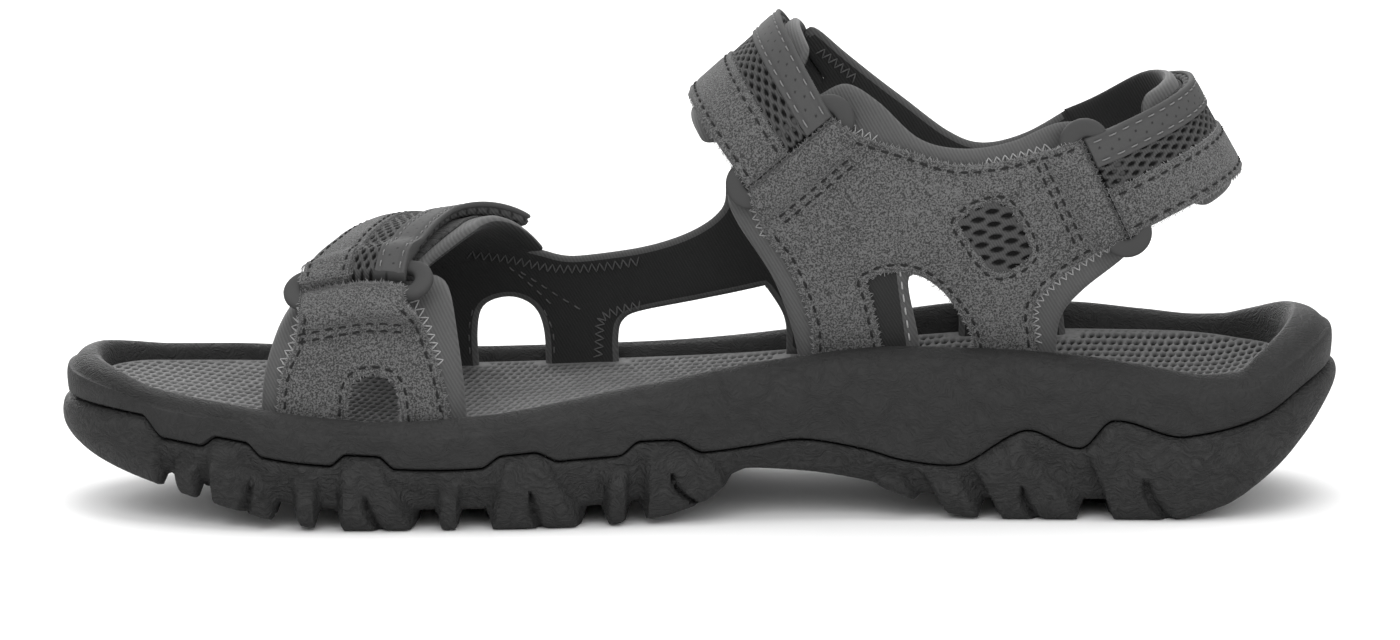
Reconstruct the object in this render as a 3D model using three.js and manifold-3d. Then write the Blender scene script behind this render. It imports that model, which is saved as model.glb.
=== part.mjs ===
// Hiking sandal for the right foot, standing on its sole.
// X runs from the toe (-X) to the heel (+X), -Y is the inner (medial) side and +Z is up, in millimetres.
import * as THREE from "three";
import { mergeVertices } from "three/addons/utils/BufferGeometryUtils.js";
import Module from "manifold-3d";

const wasm = await Module();
wasm.setup();
const { clamp, degToRad, lerp, radToDeg, smoothstep } = THREE.MathUtils;

// Short table with named columns: one object for each row
function table(columns, rows) {
  return rows.map((row) => Object.fromEntries(columns.map((column, i) => [column, row[i]])));
}

// Driving dimensions
const LENGTH = 290;
const GAP = 0.3;
const REACH = 90;

// Sole outline: centre line and half width along the foot, rounded off at both ends
const PLAN = [
  { x: -146, centre: -10.6, half: 38 },
  { x: -110, centre: -7.6, half: 44 },
  { x: -70, centre: -1.6, half: 51.5 },
  { x: -45, centre: 0.9, half: 52.3 },
  { x: -15, centre: 2.4, half: 48.5 },
  { x: 15, centre: 3.4, half: 43 },
  { x: 45, centre: 2.4, half: 40 },
  { x: 75, centre: 0.9, half: 39.5 },
  { x: 105, centre: -0.1, half: 39.5 },
  { x: 146, centre: -0.6, half: 38 },
];
const TOE_ROUND = 62;
const HEEL_ROUND = 42;
const ROUND_POWER = 2.2;

// Stations of the sole's rings: round ends, and plain places between the waves
const END_STATIONS = 5;
const TOE_ARC = 22;
const HEEL_ARC = 26;
const PLAIN_STATIONS = [-91, -59, -25, 12, 23, 34, 46, 65, 80, 101];
const CLOSEST_STATIONS = 0.6;

// Midsole rim and footbed: heights on both sides, dip of the footbed's middle, insets of crest and wall
const RIM = table(
  ["x", "medial", "lateral", "bedMedial", "bedLateral", "dish", "crest", "wall"],
  [
    [-146, 35.4, 36.2, 30.8, 30.4, 0.4, 6, 8.6],
    [-136, 33, 35, 29.6, 29.6, 0.4, 5.6, 8.2],
    [-127, 30.4, 33, 28, 28.6, 0.4, 5.2, 7.8],
    [-108, 28, 30.3, 25.4, 26.4, 0.4, 5, 7.5],
    [-90, 25.8, 27.6, 22.9, 24.6, 0.5, 5, 7.5],
    [-68, 24.4, 26.4, 21.5, 23.4, 0.6, 5, 7.5],
    [-50, 25.5, 26.2, 22.4, 23.1, 0.8, 5, 7.5],
    [-14, 31.4, 27.6, 27.2, 24.6, 1.4, 5, 8],
    [22, 36.9, 31.6, 31, 27.6, 2.4, 5.2, 9],
    [45, 39, 36.4, 32, 30.4, 3, 5.6, 9.5],
    [68, 38.4, 39, 31.8, 31.6, 3.2, 5.8, 9.5],
    [86, 37.1, 39, 31.2, 31.6, 3.4, 5.8, 9.5],
    [104, 34.4, 37.4, 30.6, 31, 3.4, 5.8, 9.2],
    [116, 32.7, 36.5, 30.6, 31, 3.2, 5.8, 9],
    [124, 32.9, 37, 31.2, 31.4, 2.8, 6, 9.2],
    [132, 36.8, 39, 32, 32, 2, 6.6, 10],
    [146, 43.8, 43.8, 33.4, 33.4, 1, 8, 11.5],
  ],
);
const MIDSOLE = {
  recess: 0.6,
  shoulder: { share: 0.6, drop: 0.9 },
  outer: { share: 0.4, drop: 2.2 },
  belly: { inset: -0.2, share: 0.45 },
  foot: 0.3,
  core: 1,
};
const FOOTBED = { thick: 5, edge: 1.2, side: 0.4, sideDrop: 0.8, under: 1.1, play: 0.2 };

// Outsole: ground line with toe spring, arch and heel bevel, depth of tread, and the low line of its top edge
const TREAD = [
  { x: -147, tip: 17.5, depth: 1.0, edge: 21.0 },
  { x: -137, tip: 12.6, depth: 2.0, edge: 20.6 },
  { x: -121, tip: 8.0, depth: 3.5, edge: 19.4 },
  { x: -106, tip: 4.2, depth: 4.5, edge: 17.5 },
  { x: -90, tip: 0.9, depth: 4.5, edge: 15.3 },
  { x: -79, tip: 0, depth: 4.5, edge: 14.6 },
  { x: -58, tip: 0, depth: 4.5, edge: 13.7 },
  { x: -28, tip: 0, depth: 4.5, edge: 15.5 },
  { x: -10, tip: 1.4, depth: 4.5, edge: 16.2 },
  { x: 0, tip: 4.2, depth: 3.0, edge: 16.1 },
  { x: 12, tip: 11.4, depth: 0.4, edge: 17.2 },
  { x: 22, tip: 10.8, depth: 0.3, edge: 18.5 },
  { x: 36, tip: 8.6, depth: 0.3, edge: 16.3 },
  { x: 46, tip: 5.2, depth: 1.2, edge: 13.5 },
  { x: 56, tip: 1.2, depth: 4.0, edge: 12.4 },
  { x: 66, tip: 0, depth: 4.5, edge: 13.6 },
  { x: 86, tip: 0, depth: 4.5, edge: 16.5 },
  { x: 106, tip: 0, depth: 4.5, edge: 18.6 },
  { x: 118, tip: 2.4, depth: 4.0, edge: 20.2 },
  { x: 128, tip: 8.0, depth: 3.0, edge: 22.8 },
  { x: 138, tip: 16.6, depth: 1.5, edge: 28.6 },
  { x: 147, tip: 29.0, depth: 0.5, edge: 32.6 },
];

// Insets and heights of the outsole's cup, and of the block from which its lugs are cut
const CUP = {
  floor: 3,
  wall: 2.2,
  draft: 0.5,
  lip: { inset: 0.3, drop: 0.2 },
  belly: { inset: 0.7, share: 0.45 },
  foot: 3.2,
};
const LUG_BLOCK = {
  core: { inset: 3.8, rise: 1 },
  inner: { inset: 2.3, drop: 1.4 },
  shoulder: { inset: 1.3, drop: 0.6 },
  proud: { inset: -1, drop: 1.2 },
  foot: 3,
};

// Waves of the outsole's top edge: start, end, length of each flank and rise
const WAVES = [
  { from: -170, to: -121.5, lead: 1, trail: 5, rise: 4.4 },
  { from: -113, to: -98.5, lead: 4, trail: 4, rise: 2.7 },
  { from: -83.5, to: -68.5, lead: 4, trail: 4, rise: 2.7 },
  { from: -49.5, to: -31.5, lead: 5, trail: 6, rise: 2.5 },
  { from: -18.5, to: 1, lead: 5, trail: 7, rise: 3.0 },
  { from: 57.5, to: 86, lead: 16, trail: 13, rise: 5.8 },
  { from: 86, to: 110, lead: 7, trail: 17, rise: 5.4 },
];

// Side lugs, the same on both sides: reach inward, drift of the inner end, lean of both flanks, top
const SIDE_LUGS = table(
  ["from", "to", "depth", "drift", "frontLean", "rearLean", "top"],
  [
    [-120.6, -115.4, 8, 2, 0, 0, 13],
    [-114, -98, 14, 4, 0, -0.5, 40],
    [-93, -88, 8, 2, 0, 0, 10.5],
    [-85, -68, 17, 5, 0.05, -0.5, 40],
    [-60.5, -56, 9, 2, 0, 0, 9.6],
    [-51, -30.6, 17, 5, 0.2, -0.5, 40],
    [-22.8, -18.2, 9, 2, 0, 0, 11.5],
    [-15.4, 8, 15, 4, 0, -0.6, 40],
    [47, 54, 11, -3, -0.6, -0.6, 10],
    [58, 66, 12, -3, -0.5, -0.5, 11],
    [70.5, 89, 16, -4, -0.49, -0.74, 40],
    [95.8, 124, 16, -4, -0.36, -0.3, 40],
  ],
);
const END_LUGS = [
  { from: -150, to: -122.4 },
  { from: 116, to: 150 },
];

// Two columns of slanted centre lugs under the forefoot and two under the heel
const CENTRE_LUGS = [
  { from: -112, to: -22, count: 6, offset: 11 },
  { from: 72, to: 112, count: 3, offset: 9 },
];
const CENTRE_LUG_LENGTH = 11;
const CENTRE_LUG_WIDTH = 14;
const CENTRE_LUG_SLANT = 4;
const LUG_BELOW = 1;

// Last: rise of the foot's top along the forefoot, and ovals round the ankle by height
const FOOT = [
  { x: -115, rise: 17 },
  { x: -95, rise: 24 },
  { x: -83, rise: 30 },
  { x: -72, rise: 34.6 },
  { x: -54, rise: 36.8 },
  { x: -30, rise: 43 },
  { x: 0, rise: 62 },
  { x: 30, rise: 84 },
];
const FOOT_INSET = 13.4;
const ANKLE = [
  { z: 24, front: -66, back: 129, medial: 21.6, lateral: 27 },
  { z: 40, front: -50, back: 128, medial: 23.8, lateral: 28.6 },
  { z: 60, front: -32, back: 123, medial: 27, lateral: 30.6 },
  { z: 75, front: -16, back: 117, medial: 29, lateral: 31 },
  { z: 90, front: 1.7, back: 109, medial: 28.5, lateral: 29.5 },
  { z: 107, front: 21.6, back: 100, medial: 27, lateral: 27 },
];
const LAST_POWER = 2.4;
const BLEND_FROM = -25;
const BLEND_TO = 15;

// Layers of the upper, as distances out from the last
const LATERAL_PAD = { inner: 0, outer: 3.3 };
const STRAP_BASE = { inner: 0.15, outer: 3 };
const MEDIAL_PAD = { inner: 0, outer: 2.5 };
const SUEDE = { inner: 2.8, outer: 4.4 };
const TAB_FOLD = { inner: 2.95, outer: 8.4 };
const STRAP_FOLD = { inner: 3.8, outer: 8.4 };
const CLOSURE = { inner: 3.8, outer: 5.6 };
const STRIP = { inner: 5.9, outer: 6.8 };

const SUEDE_STRIP = { near: 0, far: 0.46 };
const TRIM_STRIP = { near: 0.71, far: 1 };
const STRIP_START = 8.4;

// Rings: outside size, slot, thickness and place above the last
const RING_LENGTH = 34.6;
const RING_WIDTH = 11.4;
const RING_SLOT_LENGTH = 26;
const RING_SLOT_WIDTH = 5;
const RING_THICK = 2.6;
const RING_LIFT = 4.4;
const FOLD_NEAR = 0.2;
const FOLD_FAR = 7.4;

// Arched straps: the line of each ring seen from the side, and the reach of the arch beyond it
const INSTEP = {
  low: { x: 10.6, z: 75.4, reachX: -13.1, reachZ: 17.5 },
  high: { x: 29.7, z: 91.5, reachX: -11.6, reachZ: 19.8 },
  allowance: 6.2,
};
const HEEL = {
  low: { x: 96.7, z: 63.9, reachX: 27.1, reachZ: 12.2 },
  high: { x: 86, z: 86.4, reachX: 26.1, reachZ: 10.5 },
  allowance: 6.2,
};
const ARCH_POWER = 2.2;

// Forefoot strap: front and rear edge by angle over the foot, from the ring to its free end
const FOREFOOT = [
  { angle: 40, front: -91.6, rear: -67.2 },
  { angle: 54, front: -90.6, rear: -65.8 },
  { angle: 74, front: -89.2, rear: -61.4 },
  { angle: 90, front: -83.6, rear: -57.5 },
  { angle: 134, front: -67, rear: -39 },
];
const FOREFOOT_RING = { front: 53.5, rear: 44.5 };
const VAMP = [
  { angle: 62, front: -84, rear: -62 },
  { angle: 75, front: -86, rear: -56.5 },
  { angle: 90, front: -87, rear: -51.5 },
  { angle: 115, front: -87, rear: -45 },
  { angle: 142, front: -87, rear: -37 },
];
const VAMP_START = { front: 61.5, rear: 50.5 };
const RING_FRONT = -90.6;
const RING_REAR = -66.8;
const RING_SHIFT = 1.5;
const PAD_PAST_RING = 3;
const DEGREES_PER_MM = 1.45;
const BELOW_PER_DEGREE = 0.35;
const LEG_ANGLE = -12;
const LEG_SHARE = 1 / 6;
const FREE_END = { forefoot: 132, instep: 142, heel: 146 };
const BASE_END = { instep: 38, heel: 36 };
const BASE_LOW = -0.12;
const BASE_HIGH = 1.1;
const BASE_JOIN = { high: 0.96, from: 130, to: 178 };
const BASE_ROUND = 20;
const BASE_BLUNT = 5;
const LATERAL_PLUG = 185;

// Legs of the upper and the depth to which they go into the footbed
const LEG_FOOT = { forefoot: 19.6, quarter: 27.4 };
const LEGS = [
  { side: -1, from: -99.4, to: -79.6, bottom: LEG_FOOT.forefoot },
  { side: -1, from: -67.4, to: -52.6, bottom: LEG_FOOT.forefoot },
  { side: -1, from: 22, to: 51, bottom: LEG_FOOT.quarter },
  { side: -1, from: 62, to: 81.5, bottom: LEG_FOOT.quarter },
  { side: 1, from: -87, to: -52, bottom: LEG_FOOT.forefoot },
  { side: 1, from: -36.5, to: -19, bottom: LEG_FOOT.forefoot },
  { side: 1, from: 20, to: 46, bottom: LEG_FOOT.quarter },
  { side: 1, from: 60, to: 86, bottom: LEG_FOOT.quarter },
];
const SLOT_PLAY = 0.4;
const SLOT_REACH = 16;
const SLOT_TOP = 50;

// Smooth curve through one column of a table, with no overshoot between its rows
function through(rows, column, along = "x") {
  const at = rows.map((row) => row[along]);
  const value = rows.map((row) => row[column]);
  const slope = at.slice(1).map((end, i) => (value[i + 1] - value[i]) / (end - at[i]));
  const tangent = value.map((_, i) => {
    const before = slope[Math.max(i - 1, 0)];
    const after = slope[Math.min(i, slope.length - 1)];
    return before * after > 0 ? (2 * before * after) / (before + after) : 0;
  });
  return (where) => {
    const place = clamp(where, at[0], at[at.length - 1]);
    let i = slope.length - 1;
    while (i > 0 && at[i] > place) i -= 1;
    const span = at[i + 1] - at[i];
    const s = (place - at[i]) / span;
    const rest = 1 - s;
    const start = value[i] * (1 + 2 * s) * rest * rest + tangent[i] * span * s * rest * rest;
    return start + value[i + 1] * (3 - 2 * s) * s * s - tangent[i + 1] * span * rest * s * s;
  };
}

// Closed solid from faces of shared corners, turned so that its faces point out
function solidOf(faces) {
  const index = new Map();
  const corners = [];
  const triangles = [];
  const number = (point) => {
    if (!index.has(point)) {
      index.set(point, corners.length);
      corners.push(point);
    }
    return index.get(point);
  };
  let volume = 0;
  for (const face of faces) {
    for (let k = 2; k < face.length; k += 1) {
      const [a, b, c] = [face[0], face[k - 1], face[k]];
      volume += a.dot(b.clone().cross(c));
      triangles.push([number(a), number(b), number(c)]);
    }
  }
  const order = volume > 0 ? [0, 1, 2] : [0, 2, 1];
  return new wasm.Manifold(
    new wasm.Mesh({
      numProp: 3,
      vertProperties: Float32Array.from(corners.flatMap((corner) => corner.toArray())),
      triVerts: Uint32Array.from(triangles.flatMap((triangle) => order.map((k) => triangle[k]))),
    }),
  );
}

// Solid of a closed three.js geometry
function solidOfGeometry(geometry) {
  geometry.deleteAttribute("normal");
  geometry.deleteAttribute("uv");
  const merged = mergeVertices(geometry, 1e-4);
  return new wasm.Manifold(
    new wasm.Mesh({
      numProp: 3,
      vertProperties: Float32Array.from(merged.attributes.position.array),
      triVerts: Uint32Array.from(merged.index.array),
    }),
  );
}

// Sole outline as a loop of stations: toe, medial side, heel, lateral side
const planCentre = through(PLAN, "centre");
const planHalf = through(PLAN, "half");

function roundOff(distance, size) {
  const missing = Math.max(0, 1 - Math.max(distance, 0) / size);
  return (1 - missing ** ROUND_POWER) ** (1 / ROUND_POWER);
}

function soleEdge(x, side) {
  const ends = roundOff(x + LENGTH / 2, TOE_ROUND) * roundOff(LENGTH / 2 - x, HEEL_ROUND);
  return planCentre(x) + side * planHalf(x) * ends;
}

// Stations along the sole: close together at its round ends, and on every flank of the waves
function stationsAlong() {
  const ends = Array.from({ length: END_STATIONS + 1 }, (_, k) => (k / END_STATIONS) ** 2);
  const toe = ends.map((share) => -LENGTH / 2 + TOE_ARC * share);
  const heel = ends.map((share) => LENGTH / 2 - HEEL_ARC * share);
  const flanks = WAVES.flatMap(({ from, to, lead, trail }) => [from, from + lead, to - trail, to]);
  const inside = (x) => x > toe[END_STATIONS] && x < heel[END_STATIONS];
  const between = [...flanks, ...PLAIN_STATIONS].filter(inside);
  const all = [...toe, ...between, ...heel].sort((one, other) => one - other);
  return all.filter((x, i) => i === 0 || x - all[i - 1] > CLOSEST_STATIONS);
}

function outlineLoop(skip = 1) {
  const all = stationsAlong();
  const stations = all.filter((_, i) => i % skip === 0 || i === all.length - 1);
  const medial = stations.map((x) => ({ x, y: soleEdge(x, -1), side: -1 }));
  const lateral = stations.slice(1, -1).reverse();
  const loop = [...medial, ...lateral.map((x) => ({ x, y: soleEdge(x, 1), side: 1 }))];
  return loop.map((point, i) => {
    const before = loop[(i + loop.length - 1) % loop.length];
    const after = loop[(i + 1) % loop.length];
    const out = new THREE.Vector2(after.y - before.y, before.x - after.x).normalize();
    return { ...point, out };
  });
}

// One ring round the sole, moved in from the outline, at a height given for each place
function ring(loop, inset, height) {
  return loop.map(({ x, y, side, out }) => {
    const distance = inset(x, side);
    const placeX = x - out.x * distance;
    return new THREE.Vector3(placeX, y - out.y * distance, height(x, side, placeX));
  });
}

// Cross rows from the medial to the lateral half of a ring, sagging by a dip
function capRows(points, { dip, columns }) {
  const half = points.length / 2;
  return Array.from({ length: half + 1 }, (_, i) => {
    if (i === 0 || i === half) return [points[i]];
    const [from, to] = [points[i], points[points.length - i]];
    return Array.from({ length: columns + 1 }, (_, j) => {
      if (j === 0) return from;
      if (j === columns) return to;
      const v = j / columns;
      const point = from.clone().lerp(to, v);
      point.z -= dip(from.x) * 4 * v * (1 - v);
      return point;
    });
  });
}

function capFaces(points, cap) {
  const rows = capRows(points, cap);
  const faces = [];
  for (let i = 0; i + 1 < rows.length; i += 1) {
    const [near, far] = [rows[i], rows[i + 1]];
    for (let j = 0; j < cap.columns; j += 1) {
      if (near.length === 1) faces.push([near[0], far[j], far[j + 1]]);
      else if (far.length === 1) faces.push([near[j], far[0], near[j + 1]]);
      else faces.push([near[j], far[j], far[j + 1], near[j + 1]]);
    }
  }
  return faces;
}

// Solid from rings in order from its upper cap down to its lower cap
function ringSolid(rings, upperCap, lowerCap) {
  const faces = capFaces(rings[0], upperCap);
  for (let k = 0; k + 1 < rings.length; k += 1) {
    const [upper, lower] = [rings[k], rings[k + 1]];
    upper.forEach((point, i) => {
      const next = (i + 1) % upper.length;
      faces.push([point, lower[i], lower[next], upper[next]]);
    });
  }
  capFaces(rings[rings.length - 1], lowerCap).forEach((face) => faces.push(face.reverse()));
  return solidOf(faces);
}

const rim = { "-1": through(RIM, "medial"), 1: through(RIM, "lateral") };
const bed = { "-1": through(RIM, "bedMedial"), 1: through(RIM, "bedLateral") };
const level = { dip: () => 0, columns: 1 };
const dished = { dip: through(RIM, "dish"), columns: 4 };
const crestInset = through(RIM, "crest");
const wallInset = through(RIM, "wall");
const tip = through(TREAD, "tip");
const treadDepth = through(TREAD, "depth");
const lowEdge = through(TREAD, "edge");
const treadBase = (x) => tip(x) + treadDepth(x);

function wave(x) {
  const humps = WAVES.map(({ from, to, lead, trail, rise }) => {
    const up = smoothstep(x, from, from + lead);
    const down = 1 - smoothstep(x, to - trail, to);
    return rise * up * down;
  });
  return lowEdge(x) + humps.reduce((sum, hump) => sum + hump, 0);
}

// Vertical prism over a plan outline, each corner leaned forward or back with height
function standingPrism(points, top, lean = () => 0) {
  const shape = new THREE.Shape(points.map(([x, y]) => new THREE.Vector2(x, y)));
  const geometry = new THREE.ExtrudeGeometry(shape, { depth: top + LUG_BELOW, bevelEnabled: false });
  geometry.translate(0, 0, -LUG_BELOW);
  const corners = geometry.attributes.position;
  for (let i = 0; i < corners.count; i += 1) {
    corners.setX(i, corners.getX(i) + lean(corners.getX(i)) * corners.getZ(i));
  }
  return solidOfGeometry(geometry);
}

function sideLugPrism({ from, to, depth, drift, frontLean, rearLean, top }, side) {
  const middle = (from + to) / 2;
  const inner = soleEdge(middle, side) - side * depth;
  const outer = side * REACH;
  const corners = [
    [from, outer],
    [to, outer],
    [to + drift, inner],
    [from + drift, inner],
  ];
  const lean = (x) => (x < middle + drift / 2 ? frontLean : rearLean);
  return standingPrism(side > 0 ? corners.reverse() : corners, top, lean);
}

function centreLugPrism(x, side, offset) {
  const near = planCentre(x) + side * (offset - CENTRE_LUG_WIDTH / 2);
  const far = planCentre(x) + side * (offset + CENTRE_LUG_WIDTH / 2);
  const half = CENTRE_LUG_LENGTH / 2;
  const corners = [
    [x - half - CENTRE_LUG_SLANT, near],
    [x + half - CENTRE_LUG_SLANT, near],
    [x + half + CENTRE_LUG_SLANT, far],
    [x - half + CENTRE_LUG_SLANT, far],
  ];
  return standingPrism(side < 0 ? corners.reverse() : corners, REACH);
}

function lugPrisms() {
  const prisms = [];
  for (const side of [-1, 1]) {
    SIDE_LUGS.forEach((row) => prisms.push(sideLugPrism(row, side)));
    for (const { from, to, count, offset } of CENTRE_LUGS) {
      for (let k = 0; k < count; k += 1) {
        prisms.push(centreLugPrism(lerp(from, to, k / (count - 1)), side, offset));
      }
    }
  }
  for (const { from, to } of END_LUGS) {
    const corners = [
      [from, -REACH],
      [to, -REACH],
      [to, REACH],
      [from, REACH],
    ];
    prisms.push(standingPrism(corners, REACH));
  }
  return prisms.reduce((sum, prism) => sum.add(prism));
}

function outsole() {
  const loop = outlineLoop();
  const atBase = (x, side, placeX) => treadBase(placeX);
  const { core, inner, shoulder, proud } = LUG_BLOCK;
  const cup = ringSolid(
    [
      ring(loop, () => CUP.wall + CUP.draft, (x, side, placeX) => treadBase(placeX) + CUP.floor),
      ring(loop, () => CUP.wall, wave),
      ring(loop, () => CUP.lip.inset, (x) => wave(x) - CUP.lip.drop),
      ring(loop, () => CUP.belly.inset, (x) => lerp(treadBase(x), wave(x), CUP.belly.share)),
      ring(loop, () => CUP.foot, atBase),
    ],
    level,
    level,
  );
  const block = ringSolid(
    [
      ring(loop, () => core.inset, (x, side, placeX) => treadBase(placeX) + core.rise),
      ring(loop, () => inner.inset, (x) => Math.min(treadBase(x) + CUP.floor, wave(x) - inner.drop)),
      ring(loop, () => shoulder.inset, (x) => wave(x) - shoulder.drop),
      ring(loop, () => proud.inset, (x) => wave(x) - proud.drop),
      ring(loop, () => LUG_BLOCK.foot, (x, side, placeX) => tip(placeX)),
    ],
    level,
    level,
  );
  return cup.add(block.intersect(lugPrisms()));
}

function midsole() {
  const loop = outlineLoop();
  const { recess, shoulder, outer, belly, foot, core } = MIDSOLE;
  const bedAt = (x, side) => bed[side](x);
  const rimAt = (x, side) => rim[side](x);
  const underBed = (x, side) => bedAt(x, side) - FOOTBED.thick - GAP;
  const onCup = (x) => wave(x) + GAP;
  const inCup = (x, side, placeX) => treadBase(placeX) + CUP.floor + 2 * GAP;
  return ringSolid(
    [
      ring(loop, (x) => wallInset(x) + recess, underBed),
      ring(loop, wallInset, (x, side) => bedAt(x, side) - GAP),
      ring(
        loop,
        (x) => lerp(crestInset(x), wallInset(x), shoulder.share),
        (x, side) => rimAt(x, side) - shoulder.drop,
      ),
      ring(loop, crestInset, rimAt),
      ring(loop, (x) => crestInset(x) * outer.share, (x, side) => rimAt(x, side) - outer.drop),
      ring(loop, () => belly.inset, (x, side) => lerp(wave(x), rimAt(x, side), belly.share)),
      ring(loop, () => foot, onCup),
      ring(loop, () => CUP.wall + GAP, onCup),
      ring(loop, () => CUP.wall + core + GAP, inCup),
    ],
    dished,
    level,
  );
}

function footbed() {
  const loop = outlineLoop(2);
  const { thick, edge, side: flank, sideDrop, under, play } = FOOTBED;
  return ringSolid(
    [
      ring(loop, (x) => wallInset(x) + edge, (x, side) => bed[side](x)),
      ring(loop, (x) => wallInset(x) + flank, (x, side) => bed[side](x) - sideDrop),
      ring(loop, (x) => wallInset(x) + under, (x, side) => bed[side](x) - thick + play),
    ],
    dished,
    dished,
  );
}

// Height and width of the last over the footbed
const footRise = through(FOOT, "rise");
const footFloor = (x) => (bed[-1](x) + bed[1](x)) / 2;
const footHalf = (x) => planHalf(x) - FOOT_INSET;
const ankleFront = through(ANKLE, "front", "z");
const ankleBack = through(ANKLE, "back", "z");
const ankleHalf = { "-1": through(ANKLE, "medial", "z"), 1: through(ANKLE, "lateral", "z") };

function oval(ratio, power) {
  return (1 - Math.min(Math.abs(ratio), 1) ** power) ** (1 / power);
}

// Side of the last at a height: the foot's dome in front, the ankle's ovals behind, blended between
function lastY(x, z, side, offset) {
  const above = Math.max(0, (z - footFloor(x)) / (footRise(x) + offset));
  const foot = planCentre(x) + side * (footHalf(x) + offset) * oval(above, LAST_POWER);
  const middle = (ankleFront(z) + ankleBack(z)) / 2;
  const reach = (ankleBack(z) - ankleFront(z)) / 2;
  const ankle = side * (ankleHalf[side](z) * oval((x - middle) / reach, LAST_POWER) + offset);
  return lerp(foot, ankle, smoothstep(x, BLEND_FROM, BLEND_TO));
}

// Point over the forefoot: 0 degrees is the medial side at the footbed, 90 the top, 180 the lateral side
function forefootPoint(x, angle, offset) {
  const turn = degToRad(Math.max(angle, 0));
  const across = Math.sign(Math.cos(turn)) * Math.abs(Math.cos(turn)) ** (2 / LAST_POWER);
  const up = Math.sin(turn) ** (2 / LAST_POWER);
  const below = Math.min(angle, 0) * BELOW_PER_DEGREE;
  const y = planCentre(x) - (footHalf(x) + offset) * across;
  return new THREE.Vector3(x, y, footFloor(x) + (footRise(x) + offset) * up + below);
}

// Point on an arched strap: 0 degrees is its medial line, 90 its far reach, 180 its lateral line
function archPoint({ low, high, allowance }, across, angle, offset) {
  const x = lerp(low.x, high.x, across);
  const z = lerp(low.z, high.z, across);
  const highWay = new THREE.Vector2(high.reachX, high.reachZ);
  const way = new THREE.Vector2(low.reachX, low.reachZ).lerp(highWay, across);
  const reach = way.length() - allowance + offset;
  way.normalize();
  const turn = degToRad(clamp(angle, 0, 180));
  const side = angle < 90 ? -1 : 1;
  const past = Math.min(angle, 180 - angle, 0) * BELOW_PER_DEGREE;
  const along = reach * Math.sin(turn) ** (2 / ARCH_POWER) + past;
  const y = lastY(x, z, side, offset) * Math.abs(Math.cos(turn)) ** (2 / ARCH_POWER);
  return new THREE.Vector3(x + way.x * along, y, z + way.y * along);
}

// Angle on an arch at a distance along it from its medial line
function archAngle({ low, allowance }, distance) {
  const reach = Math.hypot(low.reachX, low.reachZ) - allowance + CLOSURE.inner;
  return radToDeg(Math.asin((distance / reach) ** (ARCH_POWER / 2)));
}

// Wall between two offsets of a surface that is given over a unit square
// Facets of the thin walls and straps, along and across each
const FACETS = {
  forefootWall: [5, 6],
  forefootFold: [3, 2],
  quarterWall: [10, 6],
  quarterFold: [3, 2],
  vamp: [4, 8],
  baseStrap: [3, 10],
  lateralWall: [22, 6],
  forefootStrap: [2, 7],
  archStrap: [1, 9],
  strapFold: [2, 2],
  leg: [4, 2],
};

function shell([rows, columns], surface, { inner, outer }) {
  const layer = (offset) =>
    Array.from({ length: rows + 1 }, (_, i) =>
      Array.from({ length: columns + 1 }, (_, j) => surface(i / rows, j / columns, offset)),
    );
  const low = layer(inner);
  const high = layer(outer);
  const faces = [];
  for (let i = 0; i < rows; i += 1) {
    for (let j = 0; j < columns; j += 1) {
      faces.push([high[i][j], high[i + 1][j], high[i + 1][j + 1], high[i][j + 1]]);
      faces.push([low[i][j], low[i][j + 1], low[i + 1][j + 1], low[i + 1][j]]);
    }
    faces.push([high[i + 1][0], high[i][0], low[i][0], low[i + 1][0]]);
    faces.push([high[i][columns], high[i + 1][columns], low[i + 1][columns], low[i][columns]]);
  }
  for (let j = 0; j < columns; j += 1) {
    faces.push([high[0][j], high[0][j + 1], low[0][j + 1], low[0][j]]);
    faces.push([high[rows][j + 1], high[rows][j], low[rows][j], low[rows][j + 1]]);
  }
  return solidOf(faces);
}

// Wall on one side of the last between two heights
function sideWall(side, { from, to, bottom, top }, layer, facets) {
  const surface = (u, v, offset) => {
    const x = lerp(from, to, u);
    const z = lerp(bottom, top(x), v);
    return new THREE.Vector3(x, lastY(x, z, side, offset), z);
  };
  return shell(facets, surface, layer);
}

// Prism across the foot over an outline seen from the side: runs of points, each run a smooth curve
function sideCut(side, runs) {
  const shape = new THREE.Shape();
  runs.forEach((run, i) => {
    const points = run.map(([x, z]) => new THREE.Vector2(x, z));
    if (i === 0) shape.moveTo(points[0].x, points[0].y);
    else shape.lineTo(points[0].x, points[0].y);
    if (points.length > 1) shape.splineThru(points.slice(1));
  });
  shape.closePath();
  const geometry = new THREE.ExtrudeGeometry(shape, { depth: REACH, bevelEnabled: false, curveSegments: 2 });
  geometry.rotateX(Math.PI / 2);
  geometry.translate(0, side > 0 ? REACH : 0, 0);
  return solidOfGeometry(geometry);
}

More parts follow.
